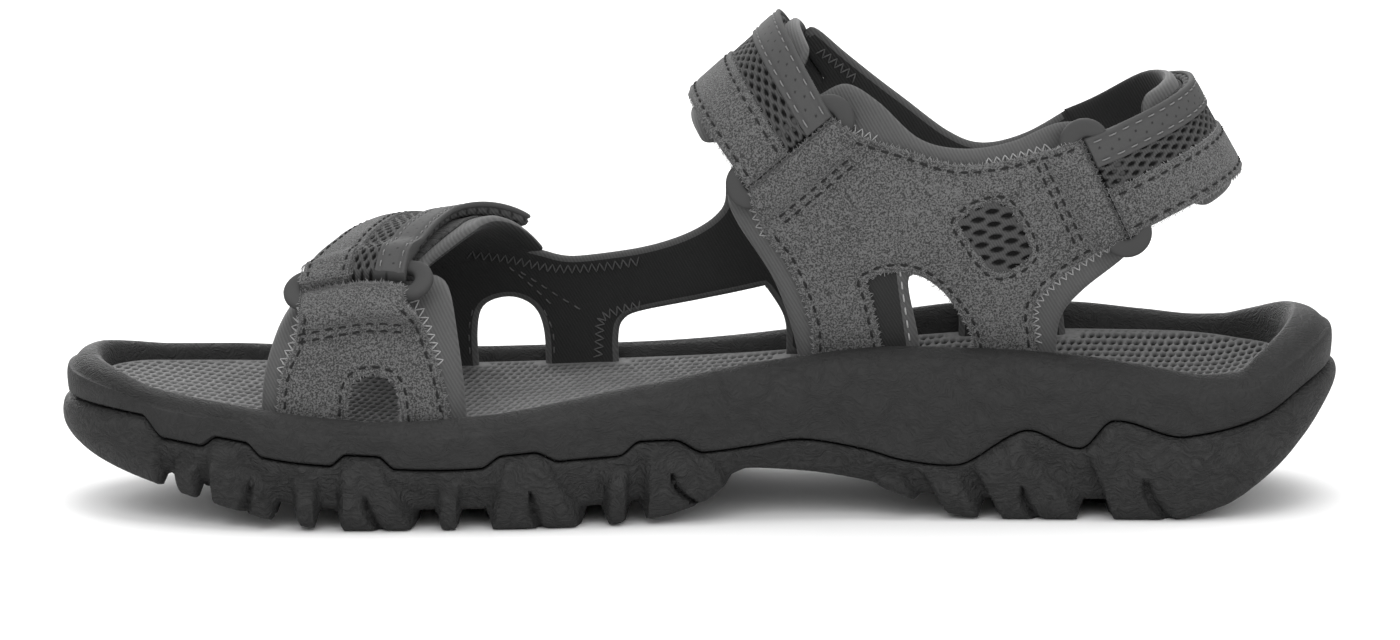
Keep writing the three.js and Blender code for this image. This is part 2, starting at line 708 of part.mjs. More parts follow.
// Ring plate with round ends and one slot, grown by a clearance on every side
function ringPlate({ origin, along, way }, clearance) {
  const stadium = (path, length, width) => {
    const half = (length - width) / 2;
    path.absarc(half, 0, width / 2, -Math.PI / 2, Math.PI / 2);
    path.absarc(-half, 0, width / 2, Math.PI / 2, (3 * Math.PI) / 2);
    path.closePath();
    return path;
  };
  const shape = stadium(new THREE.Shape(), RING_LENGTH + 2 * clearance, RING_WIDTH + 2 * clearance);
  const slot = stadium(new THREE.Path(), RING_SLOT_LENGTH - 2 * clearance, RING_SLOT_WIDTH - 2 * clearance);
  shape.holes = [slot];
  const depth = RING_THICK + 2 * clearance;
  const geometry = new THREE.ExtrudeGeometry(shape, { depth, bevelEnabled: false, curveSegments: 4 });
  geometry.translate(0, 0, -clearance);
  const first = along.clone().normalize();
  const second = way.clone().addScaledVector(first, -way.dot(first)).normalize();
  const third = first.clone().cross(second);
  if (third.y > 0) {
    first.negate();
    third.negate();
  }
  geometry.applyMatrix4(new THREE.Matrix4().makeBasis(first, second, third).setPosition(origin));
  return solidOfGeometry(geometry);
}

function archRingPlace(arch) {
  const at = (across, angle) => archPoint(arch, across, angle, RING_LIFT);
  const origin = at(0.5, 0);
  return { origin, along: at(1, 0).sub(at(0, 0)), way: at(0.5, 0).sub(at(0.5, -1)) };
}

function ringAngle(x) {
  const along = (x - RING_FRONT) / (RING_REAR - RING_FRONT);
  return lerp(FOREFOOT_RING.front, FOREFOOT_RING.rear, along);
}

function forefootRingPlace() {
  const middle = (RING_FRONT + RING_REAR) / 2 + RING_SHIFT;
  const at = (x, more) => forefootPoint(x, ringAngle(x) + more, RING_LIFT);
  return {
    origin: at(middle, 0),
    along: at(RING_REAR, 0).sub(at(RING_FRONT, 0)),
    way: at(middle, 1).sub(at(middle, -1)),
  };
}

const PLACES = {
  forefoot: forefootRingPlace(),
  instep: archRingPlace(INSTEP),
  heel: archRingPlace(HEEL),
};

const tunnel = (name) => ringPlate(PLACES[name], GAP);

// Medial forefoot: padded lining and suede tab with an arched cut-out between two legs
const TAB_FRONT = [
  [-95.3, LEG_FOOT.forefoot], [-95.1, 28.8], [-93.9, 35.7], [-91.6, 40.5], [-90.6, 47],
  [-90.4, 75],
];
const TAB_REAR = [
  [-66.7, 75], [-66.7, 54], [-63.8, 47], [-61.4, 41.5], [-58.6, 33], [-55.8, LEG_FOOT.forefoot],
];
const TAB_ARCH = [
  [-67.2, LEG_FOOT.forefoot], [-68.4, 31], [-72, 34.2], [-77, 33.8], [-79.5, 30],
  [-79.7, LEG_FOOT.forefoot],
];
const FRONT_PAD_FRONT = [
  [-99.4, LEG_FOOT.forefoot], [-98.7, 32], [-97.2, 39], [-94.9, 44.8], [-91.4, 50.5], [-91, 75],
];
const FRONT_PAD_REAR = [
  [-62, 75], [-60.5, 56], [-57.2, 52], [-55.6, 46], [-53.5, 32], [-52.6, LEG_FOOT.forefoot],
];

// Lengths of the walls before they are cut to their outlines
const PAD_SPAN = { from: -101, to: -51 };
const TAB_SPAN = { from: -97, to: -54 };

function medialForefootWall(layer, { from, to }, topMore) {
  const surface = (u, v, offset) => {
    const x = lerp(from, to, u);
    const climb = (v - LEG_SHARE) / (1 - LEG_SHARE);
    const angle = climb < 0 ? lerp(LEG_ANGLE, 0, v / LEG_SHARE) : lerp(0, ringAngle(x) + topMore, climb);
    return forefootPoint(x, angle, offset);
  };
  return shell(FACETS.forefootWall, surface, layer);
}

function medialForefootPad() {
  return medialForefootWall(MEDIAL_PAD, PAD_SPAN, PAD_PAST_RING).intersect(
    sideCut(-1, [FRONT_PAD_FRONT, FRONT_PAD_REAR, TAB_ARCH]),
  );
}

function forefootFold(layer, nearMore, farMore) {
  const surface = (u, v, offset) => {
    const x = lerp(RING_FRONT, RING_REAR, u);
    return forefootPoint(x, ringAngle(x) + lerp(nearMore, farMore, v), offset);
  };
  return shell(FACETS.forefootFold, surface, layer);
}

function medialForefootTab() {
  const wall = medialForefootWall(SUEDE, TAB_SPAN, -FOLD_NEAR * DEGREES_PER_MM);
  const tab = wall.intersect(sideCut(-1, [TAB_FRONT, TAB_REAR, TAB_ARCH]));
  const fold = forefootFold(TAB_FOLD, -FOLD_NEAR * DEGREES_PER_MM, -FOLD_FAR * DEGREES_PER_MM);
  return tab.add(fold).subtract(tunnel("forefoot"));
}

// Medial quarter: padded lining and suede with a mesh window, two legs and a slot in front
const PAD_FRONT_EDGE = [
  [22, LEG_FOOT.quarter], [21.7, 37.6], [16.7, 53], [8.1, 66.7], [6, 73], [7.4, 79.2],
];
const PAD_COLLAR = [
  [27.2, 95.8], [33, 98.2], [40, 94.4], [49.4, 86.1], [59.5, 83.9], [70, 85.4], [81, 89.6],
  [90.6, 88.6],
];
const PAD_HEEL_EDGE = [
  [101.5, 65.6], [97, 59], [87, 51], [82, 45], [80.9, 37.6], [81.5, LEG_FOOT.quarter],
];
const PAD_ARCH = [
  [62.3, LEG_FOOT.quarter], [61.5, 40.5], [56, 49.5], [50, 54.2], [47, 53], [49.4, 40],
  [51, LEG_FOOT.quarter],
];
const SUEDE_FRONT_EDGE = [
  [24.4, LEG_FOOT.quarter], [25.4, 42], [20.1, 56.8], [14.4, 64.8], [10.7, 74.9],
];
const SUEDE_COLLAR = [[29.8, 91.2], [35.8, 87], [45, 84], [57.2, 80.5], [70, 81.6], [85.6, 86.2]];
const SUEDE_HEEL_EDGE = [
  [96.4, 63.8], [83, 55.6], [75.6, 48], [75.8, 39.6], [77, LEG_FOOT.quarter],
];
const SUEDE_ARCH = [
  [62.2, LEG_FOOT.quarter], [61.5, 40.5], [55.8, 49.9], [49, 55.2], [42, 55.8], [36.8, 53.6],
];
const SUEDE_SLOT = [[38, 51], [40.6, 39.5], [42.8, LEG_FOOT.quarter]];
const MESH_WINDOW = [
  [59, 68.2], [62.5, 70.8], [69, 71.1], [74.6, 61], [71, 56.6], [65.6, 56.4], [58.4, 66.4],
];

function medialQuarterWall(layer) {
  const extent = { from: 4, to: 104, bottom: LEG_FOOT.quarter - 1, top: () => 99 };
  return sideWall(-1, extent, layer, FACETS.quarterWall);
}

function medialQuarterPad() {
  const runs = [PAD_FRONT_EDGE, PAD_COLLAR, PAD_HEEL_EDGE, PAD_ARCH];
  return medialQuarterWall(MEDIAL_PAD).intersect(sideCut(-1, runs));
}

function quarterFold(arch) {
  const surface = (u, v, offset) => {
    const along = lerp(FOLD_NEAR, FOLD_FAR, v);
    const x = lerp(arch.low.x, arch.high.x, u);
    const z = lerp(arch.low.z, arch.high.z, u);
    const way = new THREE.Vector2(arch.low.reachX, arch.low.reachZ).normalize();
    const place = { x: x - way.x * along, z: z - way.y * along };
    return new THREE.Vector3(place.x, lastY(place.x, place.z, -1, offset), place.z);
  };
  return shell(FACETS.quarterFold, surface, TAB_FOLD);
}

function medialQuarter() {
  const runs = [SUEDE_FRONT_EDGE, SUEDE_COLLAR, SUEDE_HEEL_EDGE, SUEDE_ARCH, SUEDE_SLOT];
  const panel = medialQuarterWall(SUEDE).intersect(sideCut(-1, runs)).subtract(sideCut(-1, [MESH_WINDOW]));
  const folded = panel.add(quarterFold(INSTEP)).add(quarterFold(HEEL));
  return folded.subtract(tunnel("instep")).subtract(tunnel("heel"));
}

// Lateral upper: side wall with legs, windows and connector, joined to the straps over the foot
const LATERAL_RUNS = [
  [[-87, LEG_FOOT.forefoot], [-86.5, 35], [-86, 43]],
  [[-60, 49], [-42.5, 53]],
  [[-37, 51.2], [-29.6, 49.6], [-14.3, 51.9], [-2, 56.4], [5, 62], [6, 69], [9, 74]],
  [[28.6, 92.5]],
  [
    [23.4, 101], [25, 105.2], [33, 99.4], [40, 93.4], [47.4, 87.6], [58, 79.6], [66, 77], [76, 80],
    [84.6, 86],
  ],
  [[97.6, 64.6]],
  [[96.4, 62.8], [89, 56], [84.4, 48], [84.6, 38], [86, LEG_FOOT.quarter]],
  [
    [60, LEG_FOOT.quarter], [60, 40], [55, 51], [49.5, 53.5], [46, 48], [45.6, 38],
    [46, LEG_FOOT.quarter],
  ],
  [[20, LEG_FOOT.quarter], [19.5, 36], [15, 43.5]],
  [[2, 40.6], [-13, 36.8], [-18, 34.4], [-19.4, 30], [-19, LEG_FOOT.forefoot]],
  [
    [-36.5, LEG_FOOT.forefoot], [-37, 31], [-39.5, 37], [-45, 39.4], [-51, 37.4], [-52.6, 31],
    [-52, LEG_FOOT.forefoot],
  ],
];
const LATERAL_SPAN = { from: -90, to: 104 };
const LATERAL_TOP = [
  { x: -90, top: 45 },
  { x: -60, top: 52 },
  { x: -40, top: 56 },
  { x: 0, top: 66 },
  { x: 12, top: 84 },
  { x: 26, top: 110 },
  { x: 104, top: 96 },
];

function vampStrap() {
  const front = through(VAMP, "front", "angle");
  const rear = through(VAMP, "rear", "angle");
  const surface = (u, v, offset) => {
    const angle = lerp(lerp(VAMP_START.front, VAMP_START.rear, u), VAMP[VAMP.length - 1].angle, v);
    return forefootPoint(lerp(front(angle), rear(angle), u), angle, offset);
  };
  return shell(FACETS.vamp, surface, STRAP_BASE);
}

function baseStrap(arch, end) {
  const surface = (u, v, offset) => {
    const angle = lerp(end, LATERAL_PLUG, v);
    const narrow = roundOff(angle - end + BASE_BLUNT, BASE_ROUND);
    const high = lerp(BASE_HIGH, BASE_JOIN.high, smoothstep(angle, BASE_JOIN.from, BASE_JOIN.to));
    const across = 0.5 + (lerp(BASE_LOW, high, u) - 0.5) * narrow;
    return archPoint(arch, across, angle, offset);
  };
  return shell(FACETS.baseStrap, surface, STRAP_BASE);
}

function lateralUpper() {
  const extent = { ...LATERAL_SPAN, bottom: LEG_FOOT.forefoot - 1, top: through(LATERAL_TOP, "top") };
  const wall = sideWall(1, extent, LATERAL_PAD, FACETS.lateralWall).intersect(sideCut(1, LATERAL_RUNS));
  return wall.add(vampStrap()).add(baseStrap(INSTEP, BASE_END.instep)).add(baseStrap(HEEL, BASE_END.heel));
}

// Closing straps: each folds round its ring and runs over the foot to its free end
function forefootBand(layer, near, far, startMore) {
  const front = through(FOREFOOT, "front", "angle");
  const rear = through(FOREFOOT, "rear", "angle");
  const surface = (u, v, offset) => {
    const across = lerp(near, far, u);
    const start = lerp(FOREFOOT_RING.front, FOREFOOT_RING.rear, across) + startMore;
    const angle = lerp(start, FREE_END.forefoot, v);
    return forefootPoint(lerp(front(angle), rear(angle), across), angle, offset);
  };
  return shell(FACETS.forefootStrap, surface, layer);
}

function archBand(arch, end, layer, near, far, start) {
  const surface = (u, v, offset) => {
    const angle = lerp(archAngle(arch, start), end, v);
    return archPoint(arch, lerp(near, far, u), angle, offset);
  };
  return shell(FACETS.archStrap, surface, layer);
}

function archFold(arch) {
  const surface = (u, v, offset) => archPoint(arch, u, archAngle(arch, lerp(FOLD_NEAR, FOLD_FAR, v)), offset);
  return shell(FACETS.strapFold, surface, STRAP_FOLD);
}

function forefootStrap() {
  const band = forefootBand(CLOSURE, 0, 1, FOLD_NEAR * DEGREES_PER_MM);
  const fold = forefootFold(STRAP_FOLD, FOLD_NEAR * DEGREES_PER_MM, FOLD_FAR * DEGREES_PER_MM);
  return band.add(fold).subtract(tunnel("forefoot"));
}

function archStrap(name, arch) {
  const band = archBand(arch, FREE_END[name], CLOSURE, 0, 1, FOLD_NEAR);
  return band.add(archFold(arch)).subtract(tunnel(name));
}

// Slots in the footbed for the legs of the upper
function legSlots() {
  const slots = LEGS.map(({ side, from, to, bottom }) => {
    const [start, end] = [from - SLOT_PLAY, to + SLOT_PLAY];
    const extent = { from: start, to: end, bottom: bottom - SLOT_PLAY, top: () => SLOT_TOP };
    const layer = { inner: -SLOT_PLAY, outer: SLOT_REACH };
    return sideWall(side, extent, layer, FACETS.leg);
  });
  return slots.reduce((sum, slot) => sum.add(slot));
}

const sandal = new THREE.Group();

function piece(name, solid, colour, roughness) {
  const { vertProperties, triVerts } = solid.getMesh();
  const geometry = new THREE.BufferGeometry();
  geometry.setAttribute("position", new THREE.BufferAttribute(vertProperties, 3));
  geometry.setIndex(new THREE.BufferAttribute(triVerts, 1));
  const material = new THREE.MeshStandardMaterial({ color: colour, roughness, metalness: 0 });
  const mesh = new THREE.Mesh(geometry, material);
  mesh.name = name;
  sandal.add(mesh);
}

const slots = legSlots();
piece("outsole", outsole(), "#353535", 0.75);
piece("midsole", midsole(), "#3a3a3b", 0.7);
piece("footbed", footbed().subtract(slots), "#6a6a6b", 0.85);
piece("lateral_upper", lateralUpper(), "#4a4a4b", 0.9);
piece("medial_forefoot_pad", medialForefootPad(), "#5c5c5e", 0.9);
piece("medial_forefoot_tab", medialForefootTab(), "#545454", 0.95);
piece("medial_quarter_pad", medialQuarterPad(), "#5c5c5e", 0.9);
piece("medial_quarter", medialQuarter(), "#555555", 0.95);
for (const name of ["forefoot", "instep", "heel"]) {
  const arch = { instep: INSTEP, heel: HEEL }[name];
  const strap = arch ? archStrap(name, arch) : forefootStrap();
  const strip = ({ near, far }) =>
    arch
      ? archBand(arch, FREE_END[name], STRIP, near, far, STRIP_START)
      : forefootBand(STRIP, near, far, STRIP_START * DEGREES_PER_MM);
  piece(`${name}_strap`, strap, "#404041", 0.9);
  piece(`${name}_strap_suede`, strip(SUEDE_STRIP), "#555555", 0.95);
  piece(`${name}_strap_trim`, strip(TRIM_STRIP), "#525253", 0.6);
  piece(`${name}_ring`, ringPlate(PLACES[name], 0), "#4a4a4b", 0.5);
}

export default sandal;
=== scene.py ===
import math

import bmesh
import bpy
import numpy as np
from bpy.props import FloatProperty, FloatVectorProperty, IntProperty, PointerProperty
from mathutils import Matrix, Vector
from mathutils.geometry import delaunay_2d_cdt


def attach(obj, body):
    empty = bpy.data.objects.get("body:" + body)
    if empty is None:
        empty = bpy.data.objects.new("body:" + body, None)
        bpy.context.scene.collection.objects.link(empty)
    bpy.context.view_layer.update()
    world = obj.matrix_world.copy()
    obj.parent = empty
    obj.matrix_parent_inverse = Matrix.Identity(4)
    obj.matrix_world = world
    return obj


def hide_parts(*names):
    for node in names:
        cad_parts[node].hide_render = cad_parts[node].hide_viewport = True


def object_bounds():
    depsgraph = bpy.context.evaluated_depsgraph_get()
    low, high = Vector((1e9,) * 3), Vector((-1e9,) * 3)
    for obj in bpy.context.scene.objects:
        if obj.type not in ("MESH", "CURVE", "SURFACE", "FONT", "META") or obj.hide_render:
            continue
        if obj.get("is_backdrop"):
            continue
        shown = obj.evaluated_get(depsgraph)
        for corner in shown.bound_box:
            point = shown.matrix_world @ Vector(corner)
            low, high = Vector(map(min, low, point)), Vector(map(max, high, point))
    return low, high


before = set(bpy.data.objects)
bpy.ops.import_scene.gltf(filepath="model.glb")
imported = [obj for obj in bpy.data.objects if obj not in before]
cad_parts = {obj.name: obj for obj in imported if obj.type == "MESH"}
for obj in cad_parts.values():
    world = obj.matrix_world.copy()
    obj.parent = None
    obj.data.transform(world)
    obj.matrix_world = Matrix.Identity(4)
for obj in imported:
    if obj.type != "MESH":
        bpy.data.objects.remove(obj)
CAD_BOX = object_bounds()

bl_info = {
    "name": "Hiking sandal",
    "version": (1, 0, 0),
    "blender": (4, 5, 0),
    "location": "View3D > Sidebar > Sandal",
    "description": "Dresses the sandal's frame with its sole, footbed, lining, suede, straps and rings",
    "category": "Object",
}

# Lengths are in millimetres: X from the toe (-) to the heel (+), -Y the inner side, +Z up
MM = 0.001
# Shortest way that still has a direction, and square of the shortest piece of a line that counts
TINY, POINT_LIKE = 1e-9, 1e-12


def table(columns, *rows):
    """Short table with named columns, as arrays."""
    return dict(zip(columns.split(), np.array(rows, dtype=float).T))


# Sole outline: centre line and half width along the foot
LENGTH = 290
PLAN = table(
    "x centre half",
    (-146, -10.6, 38),
    (-110, -7.6, 44),
    (-70, -1.6, 51.5),
    (-45, 0.9, 52.3),
    (-15, 2.4, 48.5),
    (15, 3.4, 43),
    (45, 2.4, 40),
    (75, 0.9, 39.5),
    (105, -0.1, 39.5),
    (146, -0.6, 38),
)
TOE_ROUND, HEEL_ROUND, ROUND_POWER = 62, 42, 2.2

# Midsole rim and footbed: heights on both sides, dip of the middle, insets of crest and inner wall
RIM = table(
    "x medial lateral bed_medial bed_lateral dish crest wall",
    (-146, 35.2, 36.2, 30.8, 30.4, 0.4, 6.0, 8.6),
    (-136, 32.9, 33.7, 29.6, 29.6, 0.4, 5.6, 8.2),
    (-127, 30.4, 31.8, 28.0, 28.4, 0.4, 5.2, 7.8),
    (-108, 28.0, 29.8, 25.4, 26.4, 0.4, 5.0, 7.5),
    (-90, 25.8, 27.6, 22.9, 24.6, 0.5, 5.0, 7.5),
    (-68, 24.4, 26.4, 21.5, 23.4, 0.6, 5.0, 7.5),
    (-50, 25.5, 26.2, 22.4, 23.1, 0.8, 5.0, 7.5),
    (-14, 31.4, 27.6, 27.2, 24.6, 1.4, 5.0, 8.0),
    (22, 36.9, 31.6, 31.0, 27.6, 2.4, 5.2, 9.0),
    (45, 39.0, 36.4, 32.0, 31.0, 3.0, 5.6, 9.5),
    (68, 38.4, 39.0, 31.8, 33.0, 3.2, 5.8, 9.5),
    (86, 37.1, 39.0, 31.2, 33.6, 3.4, 5.8, 9.5),
    (104, 34.4, 37.4, 30.6, 33.4, 3.4, 5.8, 9.2),
    (116, 32.7, 36.5, 30.4, 33.2, 3.2, 5.8, 9.0),
    (124, 32.9, 37.0, 30.6, 33.0, 2.8, 6.0, 9.2),
    (132, 36.8, 39.0, 31.6, 32.8, 2.0, 6.6, 10.0),
    (146, 43.8, 43.8, 33.4, 33.4, 1.0, 8.0, 11.5),
)
FOOTBED = 5

# Outsole: ground line with toe spring, arch and heel bevel, depth of tread, low line of its top edge
TREAD = table(
    "x tip depth edge",
    (-147, 17.5, 1.0, 21.0),
    (-137, 12.6, 2.0, 20.6),
    (-121, 8.0, 3.5, 19.4),
    (-106, 4.2, 4.5, 17.5),
    (-90, 0.9, 4.5, 15.3),
    (-79, 0, 4.5, 14.6),
    (-58, 0, 4.5, 13.7),
    (-28, 0, 4.5, 15.5),
    (-10, 1.4, 4.5, 16.2),
    (0, 4.2, 3.0, 16.1),
    (12, 11.4, 0.4, 17.2),
    (22, 10.8, 0.3, 18.5),
    (36, 8.6, 0.3, 16.3),
    (46, 5.2, 1.2, 13.5),
    (56, 1.2, 4.0, 12.4),
    (66, 0, 4.5, 13.6),
    (86, 0, 4.5, 16.5),
    (106, 0, 4.5, 18.6),
    (118, 2.4, 4.0, 20.2),
    (128, 8.0, 3.0, 22.8),
    (138, 16.6, 1.5, 28.6),
    (147, 29.0, 0.5, 32.6),
)
WAVES = table(
    "start end lead trail rise",
    (-170, -121.5, 1, 5, 4.4),
    (-113, -98.5, 4, 4, 2.7),
    (-83.5, -68.5, 4, 4, 2.7),
    (-49.5, -31.5, 5, 6, 2.5),
    (-18.5, 1, 5, 7, 3.0),
    (57.5, 86, 16, 13, 5.8),
    (86, 110, 7, 17, 5.4),
)
SIDE_LUGS = table(
    "start end depth drift front_lean rear_lean top",
    (-120.6, -115.4, 8, 2, 0, 0, 13),
    (-114, -98, 14, 4, 0, -0.5, 40),
    (-93, -88, 8, 2, 0, 0, 10.5),
    (-85, -68, 17, 5, 0.05, -0.5, 40),
    (-60.5, -56, 9, 2, 0, 0, 9.6),
    (-51, -30.6, 17, 5, 0.2, -0.5, 40),
    (-22.8, -18.2, 9, 2, 0, 0, 11.5),
    (-15.4, 8, 15, 4, 0, -0.6, 40),
    (47, 54, 11, -3, -0.6, -0.6, 10),
    (58, 66, 12, -3, -0.5, -0.5, 11),
    (70.5, 89, 16, -4, -0.49, -0.74, 40),
    (95.8, 124, 16, -4, -0.36, -0.3, 40),
)
LUG_OUTSIDE = 90
END_LUGS = table("start end", (-150, -122.4), (116, 150))
CENTRE_LUGS = table("start end count offset", (-112, -22, 6, 11), (72, 112, 3, 9))
CENTRE_LUG_LENGTH, CENTRE_LUG_WIDTH, CENTRE_LUG_SLANT = 11, 14, 4
# Slits in the side lugs: foot and head of each slit seen from the side, and its width
SLITS = table(
    "x z head_x head_z width",
    (-103.6, 3.5, -101.4, 11, 1.5),
    (-71.6, 0, -75.4, 8.5, 1.6),
    (-35.4, 0, -38.2, 8.5, 1.6),
    (1.5, 3.5, -6.5, 11.5, 1.2),
    (76.4, 0, 72.6, 7.5, 1.6),
    (107, -0.5, 100.4, 10, 2.1),
)

# Last: rise of the foot's top along the forefoot, and ovals round the ankle by height
FOOT = table(
    "x rise",
    (-115, 17),
    (-95, 24),
    (-83, 30),
    (-72, 34.6),
    (-54, 36.8),
    (-30, 43),
    (0, 62),
    (30, 84),
)
FOOT_INSET = 13.4
ANKLE = table(
    "z front back medial lateral",
    (24, -66, 129, 21.6, 27),
    (40, -50, 128, 23.8, 28.6),
    (60, -32, 123, 27, 30.6),
    (75, -16, 117, 29, 31),
    (90, 1.7, 109, 28.5, 29.5),
    (107, 21.6, 100, 27, 27),
)
LAST_POWER = 2.4
BLEND_FROM, BLEND_TO = -25, 15

# Legs of the upper that go into the footbed
LEGS = table(
    "side start end",
    (-1, -99.4, -79.6),
    (-1, -67.4, -52.6),
    (-1, 22, 51),
    (-1, 61, 81.5),
    (1, -87, -52),
    (1, -37, -19),
    (1, 20, 46),
    (1, 60, 86),
)

# Layers of the upper, as distances out from the last
LATERAL_PAD = (0, 3.3)
STRAP_BASE = (0.15, 3)
MEDIAL_PAD = (0, 2.5)
SUEDE = (2.7, 4.4)
FOLD_HEIGHT = 3.3
STRAP = (3.8, 5.8)
STRIP = (5.5, 6.9)
# Folds of the closing straps round their rings: height, and where each begins and ends to level out
STRIP_FOLD = {"forefoot": (3.4, 6, 17), "instep": (1.4, 5.5, 11), "heel": (1.4, 5.5, 11)}

# Rings
RING_LENGTH, RING_WIDTH = 34.6, 11.4
RING_SLOT_LENGTH, RING_SLOT_WIDTH = 26, 5
RING_THICK, RING_LIFT = 2.6, 4.4

# Arched straps: the line of each ring seen from the side, and the reach of the arch beyond it
INSTEP = {"low": (10.6, 75.4, -13.1, 17.5), "high": (29.7, 91.5, -11.6, 19.8)}
HEEL = {"low": (96.7, 63.9, 27.1, 12.2), "high": (86, 86.4, 26.1, 10.5)}
ARCH_ALLOWANCE, ARCH_POWER = 6.2, 2.2

# Forefoot strap and vamp: front and rear edge by angle over the foot
FOREFOOT = table(
    "angle front rear",
    (40, -91.6, -67.2),
    (54, -90.6, -65.8),
    (74, -89.2, -61.4),
    (90, -83.6, -57.5),
    (134, -67, -39),
)
VAMP = table(
    "angle front rear",
    (62, -84, -62),
    (75, -86, -56.5),
    (90, -87, -51.5),
    (115, -87, -45),
    (142, -87, -37),
)
RING_ANGLE_FRONT, RING_ANGLE_REAR = 53.5, 44.5
VAMP_START_FRONT, VAMP_START_REAR = 61.5, 50.5
RING_FRONT, RING_REAR, RING_SHIFT = -90.6, -66.8, 1.5
DEGREES_PER_MM = 1.45
BELOW_PER_DEGREE = 0.35
FREE_END = {"forefoot": 132, "instep": 142, "heel": 146}
BASE_END = {"instep": 38, "heel": 36}
BASE_LOW, BASE_HIGH, BASE_ROUND = -0.12, 1.1, 20
BASE_JOIN, BASE_JOIN_FROM, BASE_JOIN_TO = 0.98, 120, 178
LATERAL_PLUG = 185
FRONT_FOOT, REAR_FOOT = 19.6, 27.4

# Outlines of the upper's panels seen from the side, as runs of smooth curve
TAB_ARCH = ((-67.2, FRONT_FOOT), (-68.4, 31), (-72, 34.2), (-77, 33.8), (-79.5, 30), (-79.7, FRONT_FOOT))
TAB_FRONT = ((-95.3, FRONT_FOOT), (-95.1, 28.8), (-93.9, 35.7), (-91.6, 40.5), (-90.6, 47))
TAB_REAR = ((-66.7, 50.5), (-63.8, 47), (-61.4, 41.5), (-58.6, 33), (-55.8, FRONT_FOOT))
FRONT_PAD_FRONT = ((-99.4, FRONT_FOOT), (-98.7, 32), (-97.2, 39), (-94.9, 44.8), (-91.4, 49.5))
FRONT_PAD_REAR = ((-62, 54.4), (-59.4, 54), (-57.2, 52), (-55.6, 46), (-53.5, 32), (-52.6, FRONT_FOOT))
PAD_FRONT_EDGE = ((22, REAR_FOOT), (21.7, 37.6), (16.7, 53), (8.1, 66.7), (6, 73), (7.4, 79.2))
PAD_COLLAR = (
    (27.2, 95.8),
    (33, 98.2),
    (40, 94.4),
    (49.4, 86.1),
    (59.5, 83.9),
    (70, 85.4),
    (81, 89.6),
    (90.6, 88.6),
)
PAD_HEEL_EDGE = ((101.5, 65.6), (97, 59), (87, 51), (82, 45), (80.9, 37.6), (81.5, REAR_FOOT))
PAD_ARCH = ((62.3, REAR_FOOT), (61.5, 40.5), (56, 49.5), (50, 54.2), (47, 53), (49.4, 40), (51, REAR_FOOT))
SUEDE_FRONT_EDGE = ((24.4, REAR_FOOT), (25.4, 42), (20.1, 56.8), (14.4, 64.8), (10.7, 74.9))
SUEDE_COLLAR = ((29.8, 91.2), (35.8, 87), (45, 84), (57.2, 80.5), (70, 81.6), (85.6, 86.2))
SUEDE_HEEL_EDGE = ((96.4, 63.8), (83, 55.6), (75.6, 48), (75.8, 39.6), (77, REAR_FOOT))
SUEDE_ARCH = ((62.2, REAR_FOOT), (61.5, 40.5), (55.8, 49.9), (49, 55.2), (42, 55.8), (36.8, 53.6))
SUEDE_SLOT = ((38, 51), (40.6, 39.5), (42.8, REAR_FOOT))
SLOT_STRIP_FRONT = ((41, REAR_FOOT), (39, 40), (36, 56.6))
SLOT_STRIP_REAR = ((44, 56.8), (46.4, 40), (48.4, REAR_FOOT))
MESH_WINDOW = (
    (59, 68.2),
    (62.5, 70.8),
    (69, 71.1),
    (74.6, 61),
    (71, 56.6),
    (65.6, 56.4),
    (58.4, 66.4),
    (59, 68.2),
)
LATERAL_RUNS = (
    ((-87, FRONT_FOOT), (-86.5, 35), (-86, 43)),
    ((-60, 49), (-42.5, 53)),
    ((-37, 51.2), (-29.6, 49.6), (-14.3, 51.9), (-2, 56.4), (5, 62), (6, 69), (9, 74)),
    ((28.6, 92.5),),
    (
        (23.4, 101),
        (24, 105),
        (26.4, 105.6),
        (33, 99.4),
        (40, 93.4),
        (47.4, 87.6),
        (58, 79.6),
        (66, 77),
        (76, 79.6),
        (86.6, 86.2),
    ),
    ((97.6, 64.6),),
    ((96.4, 62.8), (89, 56), (84.4, 48), (84.6, 38), (86, REAR_FOOT)),
    ((60, REAR_FOOT), (60, 40), (55, 51), (49.5, 53.5), (46, 48), (45.6, 38), (46, REAR_FOOT)),
    ((20, REAR_FOOT), (19.5, 36), (15, 43.5)),
    ((2, 40.6), (-13, 36.8), (-18, 34.4), (-19.4, 30), (-19, FRONT_FOOT)),
    ((-36.5, FRONT_FOOT), (-37, 31), (-39.5, 37), (-45, 39.4), (-51, 37.4), (-52.6, 31), (-52, FRONT_FOOT)),
)


# Curves and surfaces of the sandal


def lerp(a, b, t):
    return a + (b - a) * t


def smooth(value, start, end):
    """0 before start, 1 after end, smooth between."""
    t = np.clip((value - start) / (end - start), 0, 1)
    return t * t * (3 - 2 * t)


def through(rows, column, along="x"):
    """Smooth curve through one column of a table, with no overshoot between its rows."""
    at, value = rows[along], rows[column]
    slope = np.diff(value) / np.diff(at)
    before, after = np.r_[slope[0], slope], np.r_[slope, slope[-1]]
    same = before * after > 0
    tangent = np.where(same, 2 * before * after / np.where(same, before + after, 1), 0)

    def curve(where):
        place = np.clip(where, at[0], at[-1])
        i = np.clip(np.searchsorted(at, place, side="right") - 1, 0, len(slope) - 1)
        span = at[i + 1] - at[i]
        s = (place - at[i]) / span
        rest = 1 - s
        begin = value[i] * (1 + 2 * s) * rest**2 + tangent[i] * span * s * rest**2
        return begin + value[i + 1] * (3 - 2 * s) * s**2 - tangent[i + 1] * span * rest * s**2

    return curve


